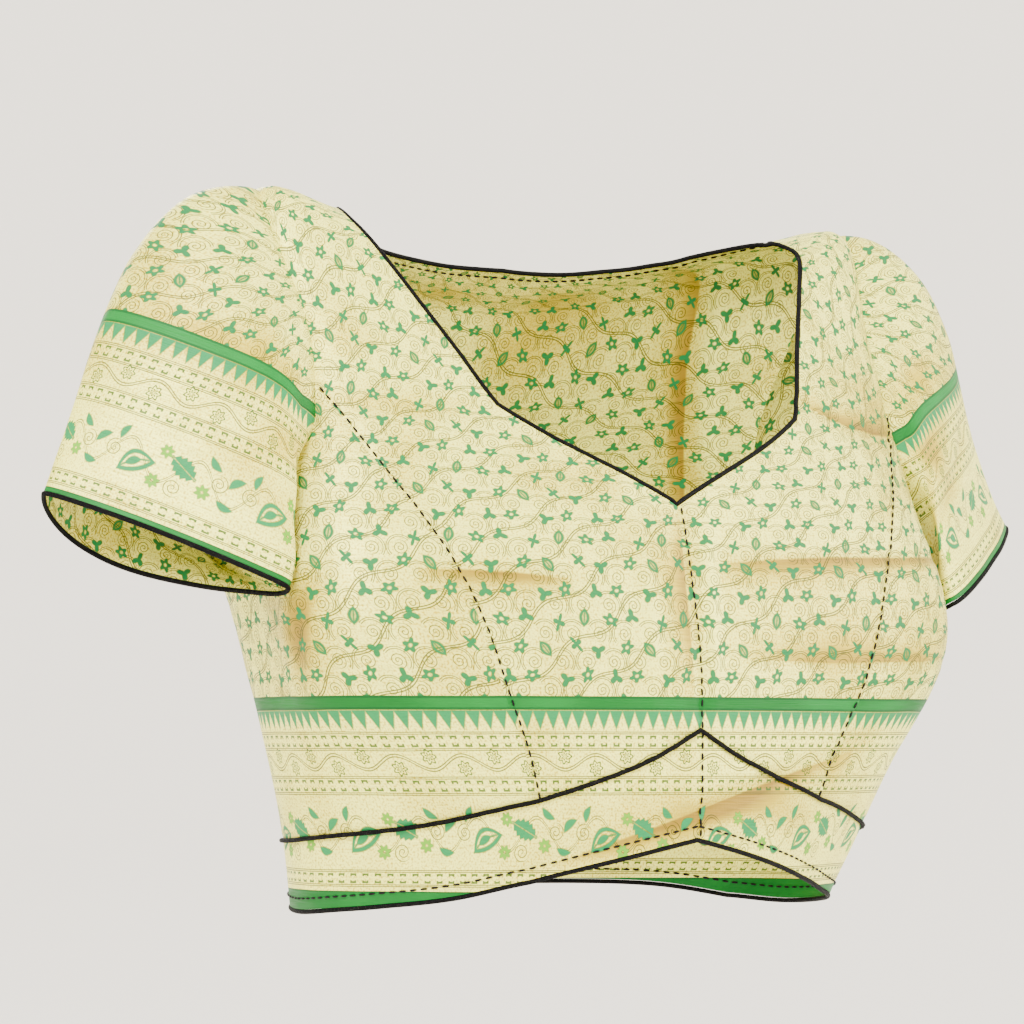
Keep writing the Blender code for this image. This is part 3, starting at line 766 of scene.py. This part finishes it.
def open_leaf(a, b, half_length, half_width, line):
    """A leaf drawn as an outline with a midrib."""
    inside = leaf(a, b, half_length, half_width)
    return stroke(inside, line * OUTLINE, line).high((MIDRIB - abs(b)).low(inside))


def petals(a, b, radius, count, depth, hole=0.0):
    """A round flower with scalloped petals and perhaps an open middle."""
    away = distance(a, b)
    lobes = (b.run("ARCTAN2", a) * count).run("COSINE")
    flower = lobes.times_plus(radius * depth / 2, radius * (1 - depth / 2)) - away
    return flower.low(away - hole) if hole else flower


def spiral(a, b, radius, pitch, line):
    """A line that winds out from its middle."""
    away = distance(a, b)
    turns = b.run("ARCTAN2", a) * (pitch / (2 * np.pi))
    return (line - abs((away - turns).wrap(pitch))).low(radius - away)


def vine(across, up, swing, period, gap, line):
    """Two lines side by side that wave along the cloth."""
    middle = (across * (2 * np.pi / period)).run("SINE") * swing
    return stroke(abs(up - middle), gap, line)


def colour(value):
    """A hex colour as linear red, green, blue and alpha."""
    parts = [int(value[k:k + 2], 16) / 255 for k in (0, 2, 4)]
    return (*[c / 12.92 if c <= 0.04045 else ((c + 0.055) / 1.055) ** 2.4 for c in parts], 1.0)


def highest(parts):
    """The greatest of several distances."""
    return reduce(Wire.high, parts)


def charted(tree, index, rows):
    """Three numbers read from a short chart at a whole-numbered step."""
    ramp = add_node(tree, "ValToRGB", {0: (index + 0.5) / len(rows)})
    ramp.color_ramp.interpolation = "CONSTANT"
    stops = ramp.color_ramp.elements
    for step, (turn, kind, shift) in enumerate(rows):
        at = step / len(rows)
        stop = stops[step] if step < 2 else stops.new(at)
        stop.position = at
        stop.color = (turn, kind / (FIELD_KINDS - 1), shift, 1.0)
    return split(tree, "SeparateColor", ramp.outputs[0])


def staggered(u, v, shift_u, shift_v):
    """Step numbers and coordinates in steps that shift by half on every other row."""
    wide, tall = FIELD_STEP
    row = ((v + shift_v) / tall).run("FLOOR")
    moved = u + row.modulo(2.0) * (wide / 2) + shift_u
    column = (moved / wide).run("FLOOR")
    return row, column, moved - (column + 0.5) * wide, v + shift_v - (row + 0.5) * tall


def field_pattern(tree, u, v):
    """Signed distances of the field's motifs and of its vines."""
    row, column, across, up = staggered(u, v, 0.0, 0.0)
    index = column.modulo(FIELD_COLUMNS) + row.modulo(FIELD_ROWS) * FIELD_COLUMNS
    turn, kind, shift = charted(tree, index, FIELD_CHART)
    across = across - (shift - 0.5) * FIELD_SHIFTS[0]
    up = up - (turn - 0.5) * FIELD_SHIFTS[1]
    angle = turn * 2 * np.pi
    a, b = turned(across, up, angle.run("COSINE"), angle.run("SINE"))
    shapes = {FIELD_LEAF[0]: open_leaf(a, b, *FIELD_LEAF[1:])}
    for number, moved, flatness, *form in FIELD_PETALS:
        shapes[number] = petals(a + moved, b * flatness, *form)
    motifs = [shape.low((KIND_GATE - abs(kind - number / (FIELD_KINDS - 1))) / KIND_GATE**2)
              for number, shape in shapes.items()]

    row, column, across, up = staggered(u, v, FIELD_STEP[0] / 2, FIELD_STEP[1] / 2)
    way = (row + column).modulo(2.0) * 2.0 - 1.0
    arc = stroke(abs(distance(across, up) - FIELD_ARC["radius"]), FIELD_ARC["gap"],
                 FIELD_ARC["line"])
    lean = np.radians(FIELD_VINE["lean"])
    along, beside = turned(u, v, np.cos(lean), np.sin(lean))
    lines = (spiral(across, up * way, *FIELD_SPIRAL),
             arc.low(up - across * way * FIELD_ARC["lean"]),
             vine(along, beside.wrap(FIELD_VINE["apart"]), *FIELD_VINE["wave"]))
    return highest(motifs), highest(lines)


def border_motif(kind, a, b, size):
    """One leaf or rosette of the border's leaf row."""
    if kind == "big open leaf":
        bent = b + a * a * OPEN_LEAF["bend"]
        shift, length, width = (size * share for share in OPEN_LEAF["eye"])
        outline = open_leaf(a, bent, size, size * OPEN_LEAF["width"], OPEN_LEAF["line"])
        return outline.high(leaf(a + shift, bent, length, width))
    if kind == "big jagged leaf":
        notches = abs(a.wrap(JAGGED_LEAF["pitch"])) * JAGGED_LEAF["depth"]
        inside = leaf(a, b, size, size * JAGGED_LEAF["width"]) - notches
        return inside.low(abs(b) - JAGGED_LEAF["rib"])
    if kind == "small leaf":
        return leaf(a, b + a * a * SMALL_LEAF["bend"], size, size * SMALL_LEAF["width"])
    return petals(a, b, size, *LIME_ROSETTE)


def border_pattern(tree, millimetres, u, v):
    """Signed distances in the border: teal, lime, small marks and lines."""
    slope = (TEETH["pitch"] / 2) / (TEETH["base"] - TEETH["point"])
    tooth = (v - TEETH["point"]) * slope - abs(u.wrap(TEETH["pitch"]))
    teal, lime, marks, lines = [tooth.low(TEETH["base"] - v)], [], [], []
    beside = abs(u.wrap(SQUARE["pitch"]))
    for middle, half_row, half_mark in SQUARE_ROWS:
        away = abs(v - middle)
        inside = (SQUARE["half_width"] - beside).low(half_mark - away)
        marks.append(stroke(inside, SQUARE["line"], SQUARE["line"]).low(away - SQUARE["gap"]))
        lines.append(stroke(abs(away - (half_row - SQUARE_LINES["inset"])), SQUARE_LINES["gap"],
                            SQUARE_LINES["line"]))
    lines.append(vine(u, v - WAVE_HEIGHT, *WAVE))
    for centre in WAVE_ROSETTES:
        flower = petals(*spot(tree, millimetres, centre, WAVE_PERIOD), *ROSETTE["form"])
        marks += [stroke(flower, at, ROSETTE["line"]) for at in ROSETTE["rings"]]
    for across, up, kind, turn, size in LEAF_ROW_MOTIFS:
        a, b = spot(tree, millimetres, (across, up), LEAF_ROW_REPEAT, turn)
        (lime if kind == "lime rosette" else teal).append(border_motif(kind, a, b, size))
    for across, up, turn, way in LEAF_ROW_SPIRALS:
        a, b = spot(tree, millimetres, (across, up), LEAF_ROW_REPEAT, turn)
        lines.append(spiral(a, b * way, *LEAF_ROW_SPIRAL))
    middle = v - SCROLL_HEIGHT
    lines.append(vine(u, middle, *SCROLL).low(SCROLL_REACH - abs(middle)))
    return [highest(parts) for parts in (teal, lime, marks, lines)]


def layered(tree, base, layers):
    """Lay colours over a base, each by its own mask."""
    for mask, tint in layers:
        base = add_node(tree, "Mix", {"Factor": mask, 6: base, 7: colour(tint)},
                        data_type="RGBA").outputs[2]
    return base


def noise_wire(tree, vector, stretch, detail):
    """A noise read at a stretched vector, from about 0 to 1."""
    vector = vector_node(tree, "MULTIPLY", vector, stretch).outputs[0]
    return Wire(tree, add_node(tree, "TexNoise", {"Vector": vector, "Scale": 1.0, "Detail": detail},
                               noise_dimensions="2D").outputs[0])


def field_weave(tree, millimetres):
    """The field's layers of colour, what stands proud, and the green at its edge."""
    u, v = split(tree, "SeparateXYZ", millimetres)[:2]
    strip = STRIP[1] - abs(v - STRIP[0])
    motifs, lines = field_pattern(tree, u, v)
    layers = ((lines, *LINE_INK), (motifs + RIM, *RIM_INK), (motifs, FIELD_TEAL, SOLID))
    return layers, motifs, lines, strip, stroke(strip, *STRIP_EDGE)


def border_weave(tree, millimetres):
    """The border's layers of colour, what stands proud, and the green at both its edges."""
    u, v = split(tree, "SeparateXYZ", millimetres)[:2]
    strip, selvedge = STRIP[1] - abs(v - STRIP[0]), SELVEDGE - v
    teal, lime, marks, lines = border_pattern(tree, millimetres, u, v)
    solid = teal.high(lime)
    layers = ((lines, *LINE_INK), (marks, *MARK_INK), (solid + RIM, *RIM_INK),
              (teal, TEAL, SOLID), (lime, LIME, SOLID))
    edging = stroke(strip, *STRIP_EDGE).high(stroke(selvedge, *SELVEDGE_EDGE))
    return layers, solid, lines.high(marks), strip.high(selvedge), edging


def new_material(name):
    """A material, its node tree and its shader."""
    material = bpy.data.materials.new(name)
    material.use_nodes = True
    return material, material.node_tree, material.node_tree.nodes["Principled BSDF"]


def brocade_material(name, weave):
    """Gold silk brocade with one part of its weave."""
    material, tree, shader = new_material(name)
    metres = add_node(tree, "UVMap", {}, uv_map="grain").outputs[0]
    millimetres = vector_node(tree, "MULTIPLY", metres, (1000.0, 1000.0, 0.0)).outputs[0]
    layers, solid, fine, green, edging = weave(tree, millimetres)
    slub, ends, cloud, speckle = (noise_wire(tree, metres, *row)
                                  for row in (SLUB, ENDS, CLOUD, SPECKLE))
    # The tone attribute carries painted shade: soft, and hard-edged on one side of pressed creases.
    tone = add_node(tree, "Attribute", {}, attribute_name="tone")
    painted_shading, press, fold = split(tree, "SeparateXYZ", tone.outputs["Vector"])
    shaded = fold.times_plus(*PRESS_EDGE, clamp=True)
    painted_shading = painted_shading + press * shaded * fold.times_plus(*PRESS_SHADE, clamp=True)
    # Painted shade and random mottle together turn the silk gold.
    shade_and_mottle = (painted_shading * PAINTED_SHADE_SHARE + cloud.over(*CLOUD_TAN) + speckle.over(*SPECKLE_TAN)).low(1.0)
    threads = (slub - 0.5) * THREADS[0] + (ends - 0.5) * THREADS[1] + THREADS[2]
    green_mask = green.mask()
    base = layered(tree, colour(GROUND), (
        (shade_and_mottle, GOLD_SHADE_AND_MOTTLE), (painted_shading.over(*DEEP_PAINTED_SHADE).low(DEEP_MOST), PAINTED_SHADE_OCHRE),
        (threads.high(0.0), LINE_OLIVE),
        *[(part.mask() * strength, tint) for part, tint, strength in layers],
        (green_mask, GREEN), (green_mask * cloud.over(*LIGHT_CLOUD).low(1.0), LIGHT_GREEN),
        (edging.mask() * EDGE_SHADE, DARK_GREEN),
    ))
    raised = (solid.mask().high(green_mask) * RAISED["solid"] + fine.mask() * RAISED["fine"])
    bump = add_node(tree, "Bump", {"Height": slub, **SILK_BUMP})
    fill(tree, shader, {
        "Base Color": base,
        "Roughness": raised * RAISED["rough"] + ROUGH + (slub - 0.5) * SLUB_ROUGH,
        "Metallic": (1.0 - raised).high(0.0) * RAISED["metal"],
        "Sheen Tint": colour(SHEEN), "Normal": bump.outputs[0], **SILK,
    })
    return material


def strand_material(name, dark, light, share, surface, twisted):
    """Dark cord with the twist of its threads, or sewing thread with its fuzz."""
    material, tree, shader = new_material(name)
    where = add_node(tree, "TexCoord", {}).outputs["Object"]
    if twisted:
        pattern = Wire(tree, add_node(tree, "TexWave", {"Vector": where, **TWIST}).outputs["Fac"])
        bump = add_node(tree, "Bump", {"Height": pattern, "Distance": TWIST_BUMP})
        fill(tree, shader, {"Normal": bump.outputs[0]})
    else:
        pattern = noise_wire(tree, where, *FUZZ)
    base = layered(tree, colour(dark), ((pattern * share, light),))
    fill(tree, shader, {"Base Color": base, **surface})
    return material


def add_object(name, data):
    """An object of some data, in the scene."""
    thing = bpy.data.objects.new(name, data)
    bpy.context.scene.collection.objects.link(thing)
    return thing


def shell(name, points, normals, faces, uv, tone, materials, period=None, inner_rise=0.0):
    """A thin cloth wall behind its outer points, with its grain map and its tone of painted shade.

    A face takes the field's material above the middle of the green strip, which both have, and
    the border's below it.
    """
    count = len(points)
    rim = rim_edges(faces)
    walls = list(faces)
    walls += [tuple(count + index for index in reversed(face)) for face in faces]
    walls += [(b, a, count + a, count + b) for a, b in rim]
    mesh = bpy.data.meshes.new(name)
    mesh.from_pydata(np.concatenate((points, points - normals * WALL)).tolist(), [], walls)
    for material in materials:
        mesh.materials.append(material)
    grain_map = mesh.uv_layers.new(name="grain")
    for face in mesh.polygons:
        places = uv[[corner % count for corner in face.vertices]]
        if period is not None:
            places[places[:, 0] < places[:, 0].max() - period / 2, 0] += period
        if len(faces) <= face.index < 2 * len(faces):
            places[:, 1] += inner_rise
        for loop, place in zip(face.loop_indices, places):
            grain_map.data[loop].uv = place
        face.material_index = int(places[:, 1].mean() * 1000 < STRIP[0])
    attribute = mesh.attributes.new("tone", "FLOAT_VECTOR", "POINT")
    attribute.data.foreach_set("vector", np.tile(tone, (2, 1)).astype(np.float32).ravel())
    sharp = {frozenset((start + a, start + b)) for a, b in rim for start in (0, count)}
    mesh.shade_smooth()
    for edge in mesh.edges:
        if frozenset(edge.vertices) in sharp:
            edge.use_edge_sharp = True
    return add_object(name, mesh)


def tube(name, strands, radius, material, closed=False, resolution=2):
    """Cords or threads along lines of points, as one curve object."""
    curve = bpy.data.curves.new(name, "CURVE")
    curve.dimensions = "3D"
    curve.bevel_depth = radius
    curve.bevel_resolution = resolution
    curve.use_fill_caps = not closed
    for strand in strands:
        spline = curve.splines.new("POLY")
        spline.points.add(len(strand) - 1)
        spline.use_cyclic_u = closed
        for knot, point in zip(spline.points, strand):
            knot.co = (*point, 1.0)
        if not closed:
            spline.points[0].radius = spline.points[-1].radius = STITCH["taper"]
    curve.materials.append(material)
    return add_object(name, curve)


class Cloth:
    """Works creases, seams and swells into the blouse's surfaces."""

    def __init__(self, materials):
        self.materials = materials
        self.rings = sleeve_surface(SLEEVE_CELLS * DETAIL + 1)
        rooted = np.linspace(0, 1 / SLEEVE_ROOT, len(self.rings)).clip(0, 1)[:, None, None]
        root = body_normal(chain(ARMHOLE)[:-1])
        self.ring_normals = unit(rooted * tube_normals(self.rings) + (1 - rooted) * root[None])
        self.lines = []
        for stops, *form in CREASES:
            line = through(stops, CREASE["samples"])
            self.lines.append((body_point(line), body_normal(line), *form))
        for stops, *form in SLEEVE_CREASES:
            self.lines.append((*self.on_sleeve(stops), *form))
            line, normals = self.on_sleeve(stops + OTHER_SHIFT)
            self.lines.append((line * MIRROR, normals * MIRROR, *(OTHER_FORM * form)))
        seams = [body_point(line_places("centre_front"))]
        for names in SEAMS:
            seams += both_sides(body_point(chain(names)))
        seams += both_sides(np.concatenate((self.rings[0], self.rings[0, :1])))
        self.tree, self.runs = seam_tree(seams)

    def on_sleeve(self, stops):
        """A line's points and normals on the left sleeve, from shares round and down it."""
        rows, columns = self.rings.shape[:2]
        around, down = through(stops, CREASE["samples"]).T
        row = np.clip(down * (rows - 1), 0, rows - 1).astype(int)
        column = (around * columns).astype(int) % columns
        return self.rings[row, column], self.ring_normals[row, column]

    def relief(self, points):
        """How far the cloth is lifted at each point, and its tone of painted shade."""
        lift, tone = crease_relief(points, self.lines)
        lift = lift + unevenness(points) + seam_relief(points, self.tree, self.runs)
        return lift, tone

    def panel(self, name, places, faces, angle):
        """A body panel's shell, cut on the straight grain through an angle."""
        points, normals = body_point(places), body_normal(places)
        lift, tone = self.relief(points)
        # Broad areas of painted shade on the silk.
        for middle, reach, spread, rise, strength in PAINTED_SHADE_AREAS:
            away = (places[:, 0] - middle) / spread
            tone[:, 0] += strength * np.exp(-away**2 - ((places[:, 1] - reach) / rise) ** 2)
        return shell(name, points + normals * lift[:, None], normals, faces,
                     grain(places, angle), tone, self.materials)

    def sleeve(self, name, side):
        """A sleeve's shell; its grain runs up from the cuff, and it closes under the arm."""
        seam = (LINES["armhole_front"][0] + LINES["armhole_under"][0]) * DETAIL
        rings = np.roll(self.rings, -seam, axis=1)
        normals = np.roll(self.ring_normals, -seam, axis=1)
        rows, columns = rings.shape[:2]
        height = distances(rings[::-1])[::-1]
        level = rings[int(rows * SLEEVE_LEVEL)]
        around = distances(np.concatenate((level, level[:1])))
        across = np.broadcast_to(around[:-1], (rows, columns))
        uv = np.stack((across, height + SLEEVE_RISE), axis=-1)
        faces = grid_faces(rows, columns, wrap=True)
        points, out = rings.reshape(-1, 3), normals.reshape(-1, 3)
        if side < 0:
            points, out, faces = points * MIRROR, out * MIRROR, [face[::-1] for face in faces]
        lift, tone = self.relief(points)
        share = np.repeat(np.linspace(0, 1, rows), columns)
        turn = np.tile(np.linspace(0, 2 * np.pi, columns), rows)
        # Painted shade in waves round the sleeve, strongest partway down it.
        tone[:, 0] += (SLEEVE_PAINTED_SHADE["strength"]
                       * np.exp(-((share - SLEEVE_PAINTED_SHADE["middle"]) / SLEEVE_PAINTED_SHADE["spread"]) ** 2)
                       * (0.5 + 0.5 * np.sin(SLEEVE_PAINTED_SHADE["waves"] * turn + side)))
        return shell(name, points + out * lift[:, None], out, faces, uv.reshape(-1, 2), tone,
                     self.materials, around[-1], SLEEVE_INNER_RISE)

    def stitches(self, name, rows, material):
        """Running stitches along rows of places, on the cloth or inside it."""
        strands = []
        proud = STITCH["radius"] - STITCH["sink"]
        along = np.linspace(0, STITCH["length"], STITCH["points"])
        for places, inside in rows:
            points = body_point(places)
            lift, _ = self.relief(points)
            rise = lift - WALL - proud if inside else lift + proud
            points = points + body_normal(places) * rise[:, None]
            run = distances(points)
            count = int((run[-1] - STITCH["length"]) / STITCH["pitch"]) + 1
            start = (run[-1] - (count - 1) * STITCH["pitch"] - STITCH["length"]) / 2
            for index in range(count):
                at = start + index * STITCH["pitch"] + along
                strands.append(np.stack([np.interp(at, run, part) for part in points.T], axis=-1))
        return tube(name, strands, STITCH["radius"], material)

    def cord(self, name, points, normals, material, on_edge=True):
        """Piping just outside a free edge, which runs with the cloth on its left, or on a seam."""
        lift, _ = self.relief(points)
        if on_edge:
            ahead = np.roll(points, -1, axis=0) - np.roll(points, 1, axis=0)
            outward = unit(np.cross(ahead, normals))
            offset = outward * (PIPING_RADIUS + PIPING_GAP) - normals * WALL / 2
            strand = points + normals * lift[:, None] + offset
        else:
            strand = points + normals * (lift + PIPING_RADIUS)[:, None]
        return tube("cord_" + name, [strand], PIPING_RADIUS, material, on_edge, 3)


def full_loop(names):
    """Places of an edge all round the body, from half of it that starts at the front."""
    half = chain(names)
    return np.concatenate((half, half[-2:0:-1] * (-1, 1)))


def stitch_rows():
    """Every row of running stitches: places on the body, and whether it shows inside."""
    front, belt = line_places("centre_front")[::-1], line_places("band_centre")[::-1]
    princess = line_places("princess") - (STITCH_ASIDE["princess"], 0.0)
    hem = full_loop("hem_front hem_side hem_back")
    hem = np.concatenate((hem, hem[:1])) + (0.0, HEM_STITCH_RISE)
    neck = line_places("neck_back")
    neck = np.concatenate((neck, neck[-2::-1] * (-1, 1) + (360, 0))) - (0.0, NECK_STITCH_DROP)
    aside = (STITCH_ASIDE["centre"], 0.0)
    return {
        "centre_stitches": [(front + aside, False), (belt + aside, False)],
        "princess_stitches": [(princess, False), (princess * (-1, 1), False)],
        "hem_stitches": [(hem, False), (hem, True)],
        "neck_stitches": [(neck, False), (neck, True)],
    }


def aim(thing, way):
    """Turn a camera or light to look along a direction."""
    thing.rotation_mode = "QUATERNION"
    thing.rotation_quaternion = Vector(way).to_track_quat("-Z", "Y")


def add_camera():
    """A camera where the drawing's eye is."""
    turn = np.radians(CAMERA_TURN)
    ahead = np.array((np.sin(turn), np.cos(turn), 0.0))
    right = np.array((np.cos(turn), -np.sin(turn), 0.0))
    look = ahead + right * CAMERA_SHIFT[0] / CAMERA_FOCAL
    look[2] += CAMERA_SHIFT[1] / CAMERA_FOCAL
    data = bpy.data.cameras.new("camera")
    data.sensor_width = SENSOR
    data.lens = CAMERA_FOCAL / PICTURE * SENSOR
    camera = add_object("camera", data)
    camera.location = CAMERA_PLACE
    aim(camera, look)
    bpy.context.scene.camera = camera


def add_stage():
    """A pale floor that rises into a round wall, so that every view is plain behind."""
    profile = [(0.0, 0.0), (FLOOR_RADIUS, 0.0), BEND_START]
    for step in range(1, BEND_STEPS + 1):
        angle = np.radians(90 * step / BEND_STEPS)
        profile.append((BEND_START[0] + BEND_RADIUS * np.sin(angle),
                        BEND_START[1] + BEND_RADIUS * (1 - np.cos(angle))))
    profile.append(WALL_TOP)
    bowl = bmesh.new()
    knots = [bowl.verts.new((x, 0, z)) for x, z in profile]
    edges = [bowl.edges.new(pair) for pair in zip(knots, knots[1:])]
    bmesh.ops.spin(bowl, geom=knots + edges, axis=(0, 0, 1), cent=(0, 0, 0), steps=STAGE_TURNS,
                   angle=2 * np.pi)
    bmesh.ops.remove_doubles(bowl, verts=bowl.verts, dist=STAGE_WELD)
    mesh = bpy.data.meshes.new("stage")
    bowl.to_mesh(mesh)
    bowl.free()
    mesh.shade_smooth()
    material, tree, shader = new_material("stage_paper")
    fill(tree, shader, {"Base Color": colour(PAPER), "Roughness": STAGE_ROUGH})
    mesh.materials.append(material)
    stage = add_object("stage", mesh)
    stage.location = (0.0, 0.0, STAGE_HEIGHT)


def add_lights():
    """Soft studio light."""
    for name, place, target, size, watts in LIGHTS:
        data = bpy.data.lights.new(name, "AREA")
        data.shape = "DISK"
        data.size = size
        data.energy = watts
        light = add_object(name, data)
        light.location = place
        aim(light, Vector(target) - Vector(place))
    world = bpy.data.worlds.new("studio")
    world.use_nodes = True
    tree = world.node_tree
    fill(tree, tree.nodes["Background"], {0: colour(SKY), 1: AMBIENT})
    bpy.context.scene.world = world


PANELS = (
    # name, its sides unless it is two patches, angle of its straight grain, slot
    ("front_centre", None, 0.0, "silk_brocade"),
    ("front_side", ("band_side", "armhole_under", "princess", "side"), 74.0, "silk_brocade"),
    ("front_band", ("hem_front hem_side", "band_front band_side", "band_centre", "side_band"),
     0.0, "brocade_border"),
)


def declare(piece, node):
    """Say what a piece of cloth rides on, and hide the solid it stands for."""
    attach(piece, "root")
    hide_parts(node)


def main():
    """Build what shows of the blouse, light it and place the camera."""
    add_camera()
    cloth = Cloth((brocade_material("field_brocade", field_weave),
                   brocade_material("border_brocade", border_weave)))
    cord, thread = strand_material(*CORD), strand_material(*THREAD)
    for name, sides, angle, slot in PANELS:
        places, faces = whole(patch(*sides)) if sides else front_centre()
        pieces = [("_left", places, faces, angle)]
        pieces.append(("_right", places * (-1, 1), [face[::-1] for face in faces], -angle))
        for side, *form in pieces:
            piece = cloth.panel("cloth_" + name + side, *form)
            declare(piece, name + side)
    declare(cloth.panel("cloth_back", *back(), 180.0), "back")
    for name, side in (("sleeve_left", 1), ("sleeve_right", -1)):
        declare(cloth.sleeve("cloth_" + name, side), name)

    neck = full_loop("neck_low neck_high neck_back")[::-1]
    hem = full_loop("hem_front hem_side hem_back")
    half = chain("band_front band_side")
    belt = np.concatenate((half[::-1] * (-1, 1), half[1:]))
    cuff, out = cloth.rings[-1][::-1], cloth.ring_normals[-1][::-1]
    for name, points, normals, on_edge in (
            ("neck_piping", body_point(neck), body_normal(neck), True),
            ("hem_piping", body_point(hem), body_normal(hem), True),
            ("cuff_piping_left", cuff, out, True),
            ("cuff_piping_right", cuff[::-1] * MIRROR, out[::-1] * MIRROR, True),
            ("band_piping", body_point(belt), body_normal(belt), False)):
        piece = cloth.cord(name, points, normals, cord, on_edge)
        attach(piece, "root")
        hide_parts(name)
    for name, rows in stitch_rows().items():
        piece = cloth.stitches(name, rows, thread)
        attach(piece, "root")
    add_stage()
    add_lights()


main()
